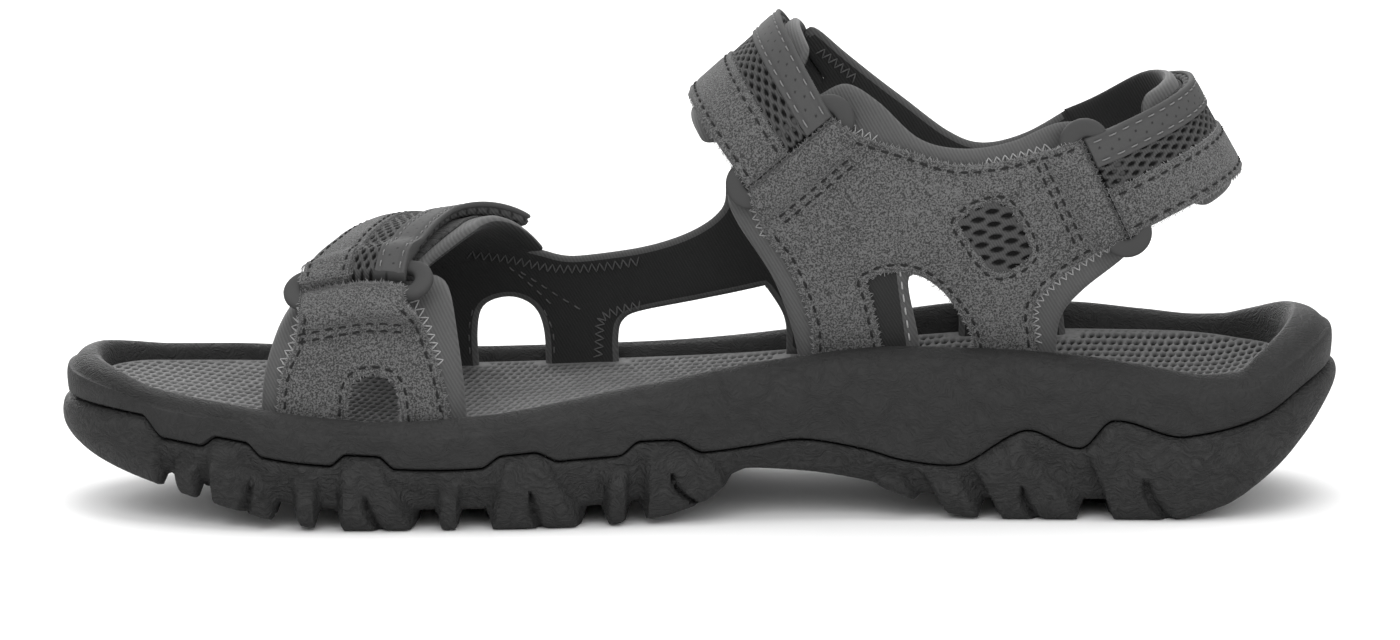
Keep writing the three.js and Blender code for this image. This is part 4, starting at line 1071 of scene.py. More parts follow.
def both_sides(line, count):
    """Medial and lateral half of a line round the sole, each from toe to heel."""
    return line[: count + 1], line[np.r_[0, np.arange(2 * count - 1, count - 1, -1)]]


# Softness of the lugs' edges, outside and inside them: on the side wall, on the tread, at a side lug's head
WALL_SOFT, TREAD_SOFT, HEAD_SOFT = (0.6, 0.9), (0.5, 0.7), (1.5, 1.5)


def past(value, edge, soft):
    """0 before an edge and 1 past it."""
    return smooth(value, edge - soft[0], edge + soft[1])


def short_of(value, edge, soft):
    """1 before an edge and 0 past it."""
    return 1 - smooth(value, edge - soft[1], edge + soft[0])


def lug_share(x, y, z):
    """1 on a lug, 0 between the lugs, with soft sides."""
    share = np.zeros(np.broadcast(x, y, z).shape)
    for start, end, depth, drift, front_lean, rear_lean, top in zip(*SIDE_LUGS.values()):
        for side in (-1, 1):
            inner = side * sole_edge((start + end) / 2, side) - depth
            inward = (LUG_OUTSIDE - side * y) / (LUG_OUTSIDE - inner)
            place = x - drift * inward
            front, rear = place - front_lean * z, place - rear_lean * z
            lug = past(front, start, WALL_SOFT) * short_of(rear, end, WALL_SOFT)
            lug = lug * past(side * y, inner, TREAD_SOFT) * short_of(z, top, HEAD_SOFT)
            share = np.maximum(share, lug)
    for start, end, count, offset in zip(*CENTRE_LUGS.values()):
        for place in np.linspace(start, end, int(count)):
            for side in (-1, 1):
                across = side * (y - plan_centre(place)) - offset
                along = x - place - CENTRE_LUG_SLANT * across / (CENTRE_LUG_WIDTH / 2)
                lug = short_of(np.abs(along), CENTRE_LUG_LENGTH / 2, TREAD_SOFT)
                lug = lug * short_of(np.abs(across), CENTRE_LUG_WIDTH / 2, TREAD_SOFT)
                share = np.maximum(share, lug)
    for start, end in zip(*END_LUGS.values()):
        share = np.maximum(share, past(x, start, TREAD_SOFT) * short_of(x, end, TREAD_SOFT))
    return share


# Slits: depth, bend of their middle, share of their half width that slopes, least half width
SLIT_DEPTH, SLIT_BEND, SLIT_SIDES, SLIT_TIP = 2.2, 0.25, 0.8, 1e-3


def slit_share(x, z):
    """1 in the middle of a slit in a side lug: wide at its foot, pointed and bent at its head."""
    share = np.zeros(np.broadcast(x, z).shape)
    for foot_x, foot_z, head_x, head_z, width in zip(*SLITS.values()):
        t = np.clip((z - foot_z) / (head_z - foot_z), -0.5, 1)
        middle = lerp(foot_x, head_x, t) + SLIT_BEND * (head_x - foot_x) * np.sin(np.pi * np.clip(t, 0, 1))
        half = width * np.sqrt(np.clip(1 - t**3, 0, 1))
        share = np.maximum(share, np.clip(1 - np.abs(x - middle) / np.maximum(half, SLIT_TIP), 0, 1))
    return smooth(share, 0, SLIT_SIDES)


# Section of the outsole's side. Lip: inset and height from the waved edge
LIP_ROWS = ((2.6, -2.5), (2.3, -0.3), (1.3, -0.02), (0.5, -0.3))
# Wall between the lugs, and face of a lug: inset, and share of the height from the tread up to the edge
CUP_ROWS = ((0.35, 0.85), (0.9, 0.62), (1.8, 0.35), (2.6, 0.12), (4.2, 0))
LUG_ROWS = ((-0.7, 0.87), (-1.2, 0.6), (-0.8, 0.3), (0.7, 0.06), (3.0, 0))
# Rings between two rows of a section, places across the tread, share of it that joins the wall
OUTSOLE_STEPS, TREAD_COLUMNS, TREAD_JOIN = 5, 74, 0.015


class SANDAL_OT_outsole(bpy.types.Operator):
    """Rubber outsole: cup wall with a waved edge, side lugs with slits, and the tread below"""

    bl_idname = "sandal.outsole"
    bl_label = "Outsole"

    def execute(self, context):
        count = context.scene.sandal_sizes.stations
        loop = sole_loop(count)
        x, y, out = loop
        zero = 0 * x
        edge, base, tip = wave(x), tread_base(x), tread_tip(x)
        lip = [(zero + inset, edge + height) for inset, height in LIP_ROWS]
        cup = lip + [(zero + inset, lerp(base, edge, share)) for inset, share in CUP_ROWS]
        lug = lip + [(zero + inset, lerp(tip, edge, share)) for inset, share in LUG_ROWS]
        cup, lug = smooth_rows(cup, OUTSOLE_STEPS), smooth_rows(lug, OUTSOLE_STEPS)
        wall_y = y - out[:, 1]
        share = lug_share(x[None], wall_y[None], lug[:, 1])
        rows = lerp(cup, lug, share[:, None])
        rows[:, 0] += SLIT_DEPTH * slit_share(x[None], rows[:, 1]) * share
        wall = rings_of(loop, rows)
        columns = np.linspace(0, 1, TREAD_COLUMNS)[:, None, None]
        near, far = both_sides(wall[-1], count)
        floor = lerp(near[None], far[None], columns)
        floor_x = floor[..., 0]
        share = lug_share(floor_x, floor[..., 1], tread_tip(floor_x))
        inner = smooth(np.minimum(columns, 1 - columns)[..., 0], 0, TREAD_JOIN)
        floor[..., 2] = lerp(floor[..., 2], lerp(tread_base(floor_x), tread_tip(floor_x), share), inner)
        wall_faces = grid_faces(len(wall), 2 * count, True)
        floor_faces = grid_faces(len(columns), count + 1) + wall.size // 3
        top = [tuple(range(2 * count))]
        points = np.vstack([wall.reshape(-1, 3), floor.reshape(-1, 3)])
        faces = [tuple(f) for f in wall_faces] + [tuple(f) for f in floor_faces] + top
        slot, skins = "outsole_rubber", [finish("rubber")]
        new_piece("outsole_tread", points, faces, skins, slot, ["outsole"], sharp=MOULDED_SHARP)
        return {"FINISHED"}


def rim_height(x, y):
    return lerp(rim_medial(x), rim_lateral(x), side_share(x, y))


def bed_height(x, y):
    return lerp(bed_medial(x), bed_lateral(x), side_share(x, y))


# Section of the midsole. Inner wall: inset past the wall's line, and depth below the footbed's face
INNER_ROWS = ((0.8, FOOTBED), (0.1, 0.6))
# Slope up to the crest: share of the way from crest to wall, share of the height from footbed to rim, drop
SLOPE_ROWS = ((0.75, 0.6, 0), (0.35, 1, 0.35))
# Round of the crest: share of the crest's inset, and drop below the rim
CREST_ROWS = ((0.92, 0), (0.5, 1.0), (0.18, 3.0))
# Side: inset, and share of the height from the outsole's edge to the rim
SIDE_ROWS = ((0.1, 0.66), (-0.2, 0.45), (0.05, 0.15))
# Foot behind the outsole's lip: inset, and height over the outsole's edge
FOOT_ROWS = ((0.35, 0.75), (1.3, 0.35), (2.9, 0.4))
MIDSOLE_STEPS = 4


class SANDAL_OT_midsole(bpy.types.Operator):
    """Foam midsole: swelling side wall, rounded rim and inner wall round the footbed"""

    bl_idname = "sandal.midsole"
    bl_label = "Midsole"

    def execute(self, context):
        loop = sole_loop(context.scene.sandal_sizes.stations)
        x, y, _ = loop
        zero = 0 * x
        edge, rim, bed = wave(x), rim_height(x, y), bed_height(x, y)
        crest, wall = crest_inset(x), wall_inset(x)
        rows = [(wall + inset, bed - depth) for inset, depth in INNER_ROWS]
        rows += [(lerp(crest, wall, a), lerp(bed, rim, b) - drop) for a, b, drop in SLOPE_ROWS]
        rows += [(crest * share, rim - drop) for share, drop in CREST_ROWS]
        rows += [(zero + inset, lerp(edge, rim, share)) for inset, share in SIDE_ROWS]
        rows += [(zero + inset, edge + height) for inset, height in FOOT_ROWS]
        rings = rings_of(loop, smooth_rows(rows, MIDSOLE_STEPS))
        faces = [tuple(f) for f in grid_faces(len(rings), len(x), True)]
        last = (len(rings) - 1) * len(x)
        bottom = [(last + k, last + (k + 1) % len(x), (k + 1) % len(x), k) for k in range(len(x))]
        points, slot, skins = rings.reshape(-1, 3), "midsole_foam", [finish("foam")]
        new_piece("midsole_wall", points, faces + bottom, skins, slot, ["midsole"], sharp=FOAM_SHARP)
        return {"FINISHED"}


# Footbed: places along and across it, share of its width that is eased, what it is thinner by
BED_STATIONS, BED_COLUMNS, BED_EASE, BED_THINNER = 640, 98, 0.012, 0.6
# Gap to the wall, drop and radius of its rounded edge
BED_GAP, BED_DROP, BED_ROUND = 0.3, 0.8, 1.2
# Grooves: pitch along the foot, distance of the rows, half length along and across the foot, slant
GROOVE_PITCH, GROOVE_ROW, GROOVE_ALONG, GROOVE_ACROSS, GROOVE_SLANT = 1.9, 8.4, 0.6, 1.6, 0.12
# Half sizes from a groove's middle at which it begins, and over which it goes down to its full depth
GROOVE_START, GROOVE_SIDES = 1.25, 0.4
# Distances over which the grooves begin, from the footbed's edge and from the upper's legs
GROOVE_FROM_EDGE, GROOVE_FROM_LEG = (1.0, 2.5), (2.2, 3.6)
# Share by which the footbed's colour is painted darker towards the heel, and where this begins and is full
HEEL_DARKENING, HEEL_DARKENING_FROM, HEEL_DARKENING_TO = 0.22, 20, 95


class SANDAL_OT_footbed(bpy.types.Operator):
    """Footbed with rows of short grooves, dished across the foot"""

    bl_idname = "sandal.footbed"
    bl_label = "Footbed"

    def execute(self, context):
        count = BED_STATIONS
        x, y, out = sole_loop(count)
        inset = wall_inset(x) + BED_GAP
        edge = np.column_stack([x - out[:, 0] * inset, y - out[:, 1] * inset])
        low, high = both_sides(edge, count)
        across = eased(BED_COLUMNS, BED_EASE)[:, None, None]
        flat = lerp(low[None], high[None], across)
        place_x, place_y = flat[..., 0], flat[..., 1]
        v = across[..., 0]
        along = np.broadcast_to(x[: count + 1], flat.shape[:2])
        height = lerp(bed_medial(along), bed_lateral(along), smooth(v, 0, 1) * 0.5 + v * 0.5)
        height = height - bed_dish(along) * 4 * v * (1 - v)
        side = np.minimum(v, 1 - v) * np.linalg.norm(high - low, axis=1)[None]
        end = np.minimum(place_x - edge[:, 0].min(), edge[:, 0].max() - place_x)
        border = np.minimum(side, end)
        height = height - BED_DROP * (1 - rounded(border, BED_ROUND))
        grooves = self.grooves(place_x, place_y) * smooth(border, *GROOVE_FROM_EDGE)
        grooves = grooves * self.clear_of_legs(place_x, place_y)
        top = np.dstack([flat, height - context.scene.sandal_sizes.groove * grooves])
        faces = [tuple(face) for face in grid_faces(len(across), count + 1)]
        size = top.size // 3
        rim = np.r_[np.arange(count + 1), np.arange(size - 1, size - count - 2, -1)]
        under = np.column_stack([flat.reshape(-1, 2)[rim], height.ravel()[rim] - FOOTBED + BED_THINNER])
        below = size + np.arange(len(rim))
        faces += [tuple(wall) for wall in np.column_stack([rim, np.roll(rim, -1), np.roll(below, -1), below])]
        faces.append(tuple(below[::-1]))
        points = np.vstack([top.reshape(-1, 3), under])
        # The footbed's colour is also painted darker towards the heel
        dark = 1 - (1 - grooves) * (1 - HEEL_DARKENING * smooth(place_x, HEEL_DARKENING_FROM, HEEL_DARKENING_TO))
        # Painted shade: the grooves' colour goes to the dark tone, for the shade in them
        shade = np.r_[dark.ravel(), np.zeros(len(rim))]
        slot, skins = "footbed_foam", [finish("footbed_skin")]
        new_piece("footbed_top", points, faces, skins, slot, ["footbed"], shade=shade, sharp=FOAM_SHARP)
        return {"FINISHED"}

    @staticmethod
    def clear_of_legs(x, y):
        """0 round the feet of the upper's legs, 1 elsewhere."""
        clear = np.ones(x.shape)
        for side, start, end in zip(*LEGS.values()):
            gap = np.abs(y - last_y(x, foot_floor(x) + 1, side, LATERAL_PAD[1] / 2))
            beyond = np.maximum(np.maximum(start - x, x - end), 0)
            clear = np.minimum(clear, smooth(np.hypot(gap, beyond), *GROOVE_FROM_LEG))
        return clear

    @staticmethod
    def grooves(x, y):
        """Staggered short grooves across the foot."""
        total = np.zeros(x.shape)
        for shift in (0, 1):
            line = np.round((y / GROOVE_ROW) - shift / 2)
            across = y - (line + shift / 2) * GROOVE_ROW
            slant = x - GROOVE_SLANT * across - shift * GROOVE_PITCH / 2
            along = slant - np.round(slant / GROOVE_PITCH) * GROOVE_PITCH
            near = np.hypot(along / GROOVE_ALONG, across / GROOVE_ACROSS)
            total = np.maximum(total, np.clip(GROOVE_START - near, 0, 1))
        return smooth(total, 0, GROOVE_SIDES)


def crease_gap(crease):
    """Distance from a fold's crease, inwards over the panel."""
    line = np.array(crease, dtype=float)

    def gap(a, b):
        shape = np.broadcast(a, b).shape
        points = np.column_stack([np.broadcast_to(a, shape).ravel(), np.broadcast_to(b, shape).ravel()])
        return away(points, [line]).reshape(shape)

    return gap


# Line of the tab's fold over its ring: angle short of the ring's, distance out of the last, points
TAB_FOLD_SHORT, TAB_FOLD_OUT, TAB_FOLD_POINTS = 0.3, 7.4, 9


def forefoot_crease(x):
    """Place on the line of the tab's fold, seen from the side."""
    return x, float(forefoot_surface(np.float64(x), ring_angle(x) - TAB_FOLD_SHORT, TAB_FOLD_OUT)[2])


FOREFOOT_CREASE = [forefoot_crease(x) for x in np.linspace(RING_FRONT, RING_REAR, TAB_FOLD_POINTS)]
INSTEP_CREASE = [SUEDE_FRONT_EDGE[-1], SUEDE_COLLAR[0]]
HEEL_CREASE = [SUEDE_COLLAR[-1], SUEDE_HEEL_EDGE[0]]
# Distances from a crease between which its fold goes down to the level panel
FOLD_LEVELS = (4.5, 11.5)
# Extra height of the tab's fold at its front, and what it gains to the rear, where its ring stands out more
TAB_FOLD_MORE, TAB_FOLD_GAIN = 0.6, 2.2


def folded(creases, more=None):
    """Outer face of a suede panel: level, and raised where it folds round a ring."""
    gaps = [crease_gap(crease) for crease in creases]

    def outer(a, b):
        rise = sum(1 - smooth(gap(a, b), *FOLD_LEVELS) for gap in gaps)
        return SUEDE[1] + (FOLD_HEIGHT + (more(a) if more else 0)) * rise

    return outer


def tab_fold_more(x):
    return TAB_FOLD_MORE + TAB_FOLD_GAIN * smooth(x, RING_FRONT, RING_REAR)


def lowered(outer, depth):
    """A face a little below another one."""

    def face(a, b):
        return outer(a, b) - depth

    return face


TAB_OUTER = folded([FOREFOOT_CREASE], tab_fold_more)
QUARTER_OUTER = folded([INSTEP_CREASE, HEEL_CREASE])
MEDIAL = side_surface(-1)
LATERAL = side_surface(1)

# Overlock threads on the padding beside the suede: edge, part of it in steps along it, reach of the threads
OVERLOCK = (
    (TAB_FRONT, slice(18, 34), 1.5),
    (TAB_REAR, slice(2, 22), 1.7),
    (SUEDE_FRONT_EDGE, slice(-16, -4), 1.4),
    (SUEDE_COLLAR, slice(3, 15), 1.6),
    (SUEDE_COLLAR, slice(46, 66), 1.3),
    (SUEDE_HEEL_EDGE, slice(6, 46), 1.6),
)
# Rows of stitches on the suede: distance in from its edges, from the tab's arch and from the window
EDGE_ROW, ARCH_ROW, WINDOW_ROW = 1.5, 1.6, 1.5
# Double seam under the tab's fold: its ends along the foot, and how far below the crease its rows are
TAB_SEAM, TAB_SEAM_DROPS = (-91.4, -64.6), (9.0, 10.8)
# Single rows along the quarter's edges: edge, and part of it in steps along it
QUARTER_EDGES = (
    ([SUEDE_FRONT_EDGE], slice(None, -12)),
    ([SUEDE_COLLAR], slice(8, -2)),
    ([SUEDE_HEEL_EDGE], slice(10, None)),
    ([SUEDE_ARCH, SUEDE_SLOT], slice(None)),
)
# Double seams beside the quarter's folds: crease, distances from it, and shift of both ends along it
QUARTER_SEAMS = (
    (INSTEP_CREASE, (9.4, 11.2), (0.5, -0.5)),
    (HEEL_CREASE, (9.6, 11.4), (0.5, -1)),
)
# Depth and half width of the furrow that a row of stitches draws in the suede
FURROW_DEPTH, FURROW_WIDTH = 0.45, 0.75


def tab_rows():
    """Rows of stitches on the tab."""
    crease = np.array(FOREFOOT_CREASE)
    places = np.linspace(*TAB_SEAM, TAB_FOLD_POINTS)
    rows = [inset_line([edge], -EDGE_ROW) for edge in (TAB_FRONT, TAB_REAR)]
    rows.append(inset_line([TAB_ARCH], -ARCH_ROW))
    for drop in TAB_SEAM_DROPS:
        rows.append(np.column_stack([places, np.interp(places, crease[:, 0], crease[:, 1] - drop)]))
    return rows


def quarter_rows():
    """Rows of stitches on the quarter."""
    rows = [inset_line(runs, -EDGE_ROW)[part] for runs, part in QUARTER_EDGES]
    rows.append(inset_line([MESH_WINDOW], WINDOW_ROW))
    for crease, distances, (start, end) in QUARTER_SEAMS:
        a, b = np.array(crease[0]), np.array(crease[1])
        way = (b - a) / np.linalg.norm(b - a)
        out = np.array([way[1], -way[0]])
        rows += [np.array([a + way * start + out * far, b + way * end + out * far]) for far in distances]
    return rows


def sunk(rows):
    """Relief of a panel drawn in along its rows of stitches."""

    def relief(a, b):
        near = away(np.column_stack([a, b]), rows)
        return -FURROW_DEPTH * np.exp(-((near / FURROW_WIDTH) ** 2))

    return relief


# Inner side's padding: its soft face, radius of its edge, distance of its points, strip rolled to the inside
PAD_FACE, PAD_ROUND, PAD_SPACING, PAD_ROLL = MEDIAL_PAD[1] + 0.2, 1.9, 1.1, 1.7
# Webbing in the quarter's slot: its layer, radius of its edge, distance of its points, and its seam
SLOT_LAYER, SLOT_ROUND, SLOT_SPACING = (2.3, 3.0), 0.4, 0.9
SLOT_SEAM_INSET, SLOT_SEAM_OUT = 0.9, 2.85
# Threads that are finer than the sewing thread, as shares of its radius
SLOT_THREAD, OVERLOCK_THREAD, INNER_THREAD = 0.7, 0.55, 0.6


class SANDAL_OT_pads(bpy.types.Operator):
    """Padded lining of the inner side, showing as a soft border round the suede"""

    bl_idname = "sandal.pads"
    bl_label = "Inner side's padding"

    def execute(self, context):
        sizes = context.scene.sandal_sizes
        skins = [finish("lining_face"), finish("lining_inside")]
        pads = {
            "medial_forefoot_pad": [FRONT_PAD_FRONT, FRONT_PAD_REAR, TAB_ARCH],
            "medial_quarter_pad": [PAD_FRONT_EDGE, PAD_COLLAR, PAD_HEEL_EDGE, PAD_ARCH],
        }
        for node, runs in pads.items():
            outline = outline_of(runs)
            points, faces, uv, kinds = panel(
                [outline], MEDIAL, MEDIAL_PAD[0], PAD_FACE, PAD_ROUND, PAD_SPACING, roll=PAD_ROLL
            )
            obj = new_piece(node + "_lining", points, faces, skins, "padded_lining", [node], uv, kinds)
        strip = outline_of([SLOT_STRIP_FRONT, SLOT_STRIP_REAR])
        points, faces, uv, _ = panel([strip], MEDIAL, *SLOT_LAYER, SLOT_ROUND, SLOT_SPACING)
        new_piece("quarter_slot_webbing", points, faces, [finish("lining_inside")], "padded_lining", uv=uv)
        seam = stitches(MEDIAL, inset_line([SLOT_STRIP_REAR], SLOT_SEAM_INSET), SLOT_SEAM_OUT, sizes)
        sew("quarter_slot_stitches", seam, sizes.thread * SLOT_THREAD, "thread_pale", "padded_lining")
        rows = []
        for edge, part, reach in OVERLOCK:
            rows += zigzag(MEDIAL, inset_line([edge], 0)[part], PAD_FACE, reach)
        sew("medial_overlock_thread", rows, sizes.thread * OVERLOCK_THREAD, "thread_pale", "padded_lining")
        return {"FINISHED"}


# Suede panels: radius of their edges, distance of their points, and depth of the stitches below their face
SUEDE_ROUND, SUEDE_SPACING, SUEDE_STITCH_DEPTH = 0.8, 0.8, 0.4


class SANDAL_OT_suede(bpy.types.Operator):
    """Suede tab and quarter of the inner side, folded round the rings, with a knit window"""

    bl_idname = "sandal.suede"
    bl_label = "Inner side's suede"

    def execute(self, context):
        sizes = context.scene.sandal_sizes
        tab = outline_of([TAB_FRONT, FOREFOOT_CREASE, TAB_REAR, TAB_ARCH])
        quarter = outline_of([SUEDE_FRONT_EDGE, SUEDE_COLLAR, SUEDE_HEEL_EDGE, SUEDE_ARCH, SUEDE_SLOT])
        window = outline_of([MESH_WINDOW])[:-1]
        jobs = (
            ("medial_forefoot_tab", [tab], TAB_OUTER, tab_rows()),
            ("medial_quarter", [quarter, window], QUARTER_OUTER, quarter_rows()),
        )
        for node, loops, outer, rows in jobs:
            loops = [frayed(loop) for loop in loops]
            layer = SUEDE[0], outer
            points, faces, uv, _ = panel(loops, MEDIAL, *layer, SUEDE_ROUND, SUEDE_SPACING, sunk(rows))
            new_piece(node + "_suede", points, faces, [finish("suede_nap")], "suede", [node], uv)
            seam = lowered(outer, SUEDE_STITCH_DEPTH)
            lines = [line for row in rows for line in stitches(MEDIAL, row, seam, sizes)]
            sew(node + "_stitches", lines, sizes.thread, "thread_dark", "suede")
            lines = [line for loop in loops for line in fibres(MEDIAL, loop, outer)]
            sew(node + "_fibres", lines, FIBRE, "fibre", "suede", FIBRE_SIDES)
        return {"FINISHED"}


# Loose fibres: radius, sides, distance apart, share of their length inside the edge, points along each
FIBRE, FIBRE_SIDES, FIBRE_STEP, FIBRE_ROOT, FIBRE_POINTS = 0.09, 3, 0.36, 0.4, 4
# Mean length and its spread, greatest lean, depth of their roots below the face, and how far they droop
FIBRE_LENGTH, FIBRE_SPREAD, FIBRE_LEAN, FIBRE_DEPTH, FIBRE_DROOP = 0.5, 0.45, 0.8, 0.55, 0.35
# Frayed edge: distance of its points, how far they stray, and a short way for finding the inside
FRAY_STEP, FRAY_SIZE, INSIDE_TEST = 0.55, 0.16, 0.3


def fibres(surface, loop, outer):
    """Short loose fibres along a cut suede edge: waves of unlike pace give each its own lean and length."""
    line = spaced(closed(loop), FIBRE_STEP)[:-1]
    side = left_of(line, around=True)
    tangent = np.column_stack([side[:, 1], -side[:, 0]])
    side *= np.where(inside(line + side * INSIDE_TEST, [loop]), -1, 1)[:, None]
    k = np.arange(len(line))
    length = FIBRE_LENGTH + FIBRE_SPREAD * np.sin(k * 2.3) * np.sin(k * 0.37)
    lean = FIBRE_LEAN * np.sin(k * 5.1 + 0.6)
    t = np.linspace(-FIBRE_ROOT, 1, FIBRE_POINTS)
    rows = []
    for place, out, along, size, slant in zip(line, side, tangent, length, lean):
        a, b = (place + t[:, None] * size * (out + slant * along)).T
        high = outer(a, b) - FIBRE_DEPTH - FIBRE_DROOP * np.clip(t, 0, 1)
        rows.append(surface(a, b, high))
    return rows


def frayed(loop):
    """Edge of cut suede: evenly spaced points, each put a little out of line by waves of unlike pace."""
    line = spaced(closed(loop), FRAY_STEP)[:-1]
    k = np.arange(len(line))
    wander = np.sin(k * 1.7) + np.sin(k * 2.9 + 1.3) + np.sin(k * 0.61 + 0.4)
    return line + FRAY_SIZE * (wander / 2)[:, None] * left_of(line, around=True)


# Knit: pitch of the window's and of the webbing's holes, along and across
WINDOW_PITCH, WEBBING_PITCH = (6.8, 3.0), (4.8, 2.3)
# Half length and half width of a hole as shares of the pitch, bow of its outline, slope of its sides
HOLE_LENGTH, HOLE_WIDTH, HOLE_BOW, HOLE_SIDES = 0.29, 0.27, 1.5, 0.5


def knit(u, v, pitch):
    """Depth of the knit's lens-shaped holes, staggered from row to row; also the share of painted shade in
    them.
    """
    total = np.zeros(np.broadcast(u, v).shape)
    long, wide = pitch
    for shift in (0, 1):
        a = u - shift * long / 2
        b = v - shift * wide / 2
        a = np.abs((a - np.round(a / long) * long) / (HOLE_LENGTH * long))
        b = np.abs((b - np.round(b / wide) * wide) / (HOLE_WIDTH * wide))
        total = np.maximum(total, 1 - a**HOLE_BOW - b**HOLE_BOW)
    return smooth(total, 0, HOLE_SIDES)


# Knit behind the window: its reach along the foot and up, step of its points, and its turn in degrees
WINDOW_X, WINDOW_Z, WINDOW_STEP, WINDOW_TURN = (57, 76.2), (55, 72.6), 0.3, -8
# Its layer out of the last, and the depth of its holes
WINDOW_LAYER, WINDOW_HOLES = (2.4, 3.9), 0.8


class SANDAL_OT_window(bpy.types.Operator):
    """Knit mesh behind the window of the quarter"""

    bl_idname = "sandal.window"
    bl_label = "Knit window"

    def execute(self, context):
        along, up = np.arange(*WINDOW_X, WINDOW_STEP), np.arange(*WINDOW_Z, WINDOW_STEP)
        x, z = np.meshgrid(along, up, indexing="ij")
        turn = math.radians(WINDOW_TURN)
        u = x * math.cos(turn) - z * math.sin(turn)
        v = x * math.sin(turn) + z * math.cos(turn)
        holes = knit(u, v, WINDOW_PITCH)
        top = MEDIAL(x, z, WINDOW_LAYER[1] - WINDOW_HOLES * holes).reshape(-1, 3)
        under = MEDIAL(x, z, WINDOW_LAYER[0] + 0 * x).reshape(-1, 3)
        faces = grid_faces(*x.shape)
        rows, columns = x.shape
        edge = np.r_[np.arange(columns), np.arange(1, rows) * columns + columns - 1]
        back = np.r_[np.arange(x.size - 2, x.size - columns - 1, -1), np.arange(rows - 2, 0, -1) * columns]
        rim = np.r_[edge, back]
        walls = np.column_stack([rim, np.roll(rim, -1), np.roll(rim, -1) + x.size, rim + x.size])
        both = np.vstack([faces, faces[:, ::-1] + x.size, walls])
        # Painted shade: the knit's holes are coloured dark, for the shade seen through them
        shade = np.r_[holes.ravel(), np.zeros(x.size)]
        points, skins = np.vstack([top, under]), [finish("knit_yarn")]
        new_piece("quarter_window_knit", points, both, skins, "mesh_webbing", shade=shade, sharp=0)
        return {"FINISHED"}


# Edges of the outer side that go under the vamp and the base straps
JOINED_EDGES = (
    ((-86, 43), (-60, 49), (-42.5, 53)),
    ((9, 74), (28.6, 92.5), (23.4, 101)),
    ((86.6, 86.2), (97.6, 64.6)),
)
# How far in from those edges the inner face keeps its lining, with no rolled strip
JOINED_REACH = 3
# Outer side: radius of its edge, distance of its points, strip rolled to the inside, stitches below its face
LATERAL_ROUND, LATERAL_SPACING, LATERAL_ROLL, LATERAL_STITCH_DEPTH = 1.7, 1.1, 1.5, 0.1
# Its suede overlay: inset from the edge, and thickness
LATERAL_OVERLAY = (3.2, 1.0)
# Vamp and base straps: radius of their edges, width and length, and places across and along them
STRAP_BASE_ROUND = 1.5
VAMP_SIZE, VAMP_GRID = (34, 55), (eased(24, 0.06), eased(50, 0.03))
BASE_SIZE, BASE_GRID = (29, 80), (eased(20, 0.06), eased(70, 0.02))
# Loop pile on them: its layer, radius of its edge, and its reach across and along a strap
LOOP_PILE, PILE_ROUND, PILE_ACROSS, PILE_ALONG = (2.8, 3.6), 0.5, (0.1, 0.9), (0.08, 0.92)
# Overlock on the inner lining: reach, and lift out of the wall
INNER_REACH, INNER_LIFT = 1.8, -0.2
# Seams and overlock rows on the inner face of the outer side
INNER_SEAMS = (
    ((-42.9, 46.3), (-34, 40), (-26, 35)),
    ((-45.4, 47.6), (-39.5, 42), (-34.6, 37)),
    ((-54.4, 25), (-54.6, 32), (-53.4, 37.6)),
    ((-34.6, 25), (-34.9, 31), (-37, 36.4)),
    ((34, 84), (45, 80.4), (57, 73.4), (67, 72), (77, 75)),
    ((86, 58), (80.5, 49), (80.4, 38), (81.4, 33)),
)
INNER_OVERLOCK = (
    ((-54.6, 50.6), (-45, 48.6), (-34.7, 46), (-24, 46.2), (-14.2, 48)),
    ((-14.2, 38.8), (-20, 37), (-24, 34.6), (-24.6, 29), (-25, 25)),
    ((26.8, 99.4), (30, 96.6), (35.5, 91.8)),
)


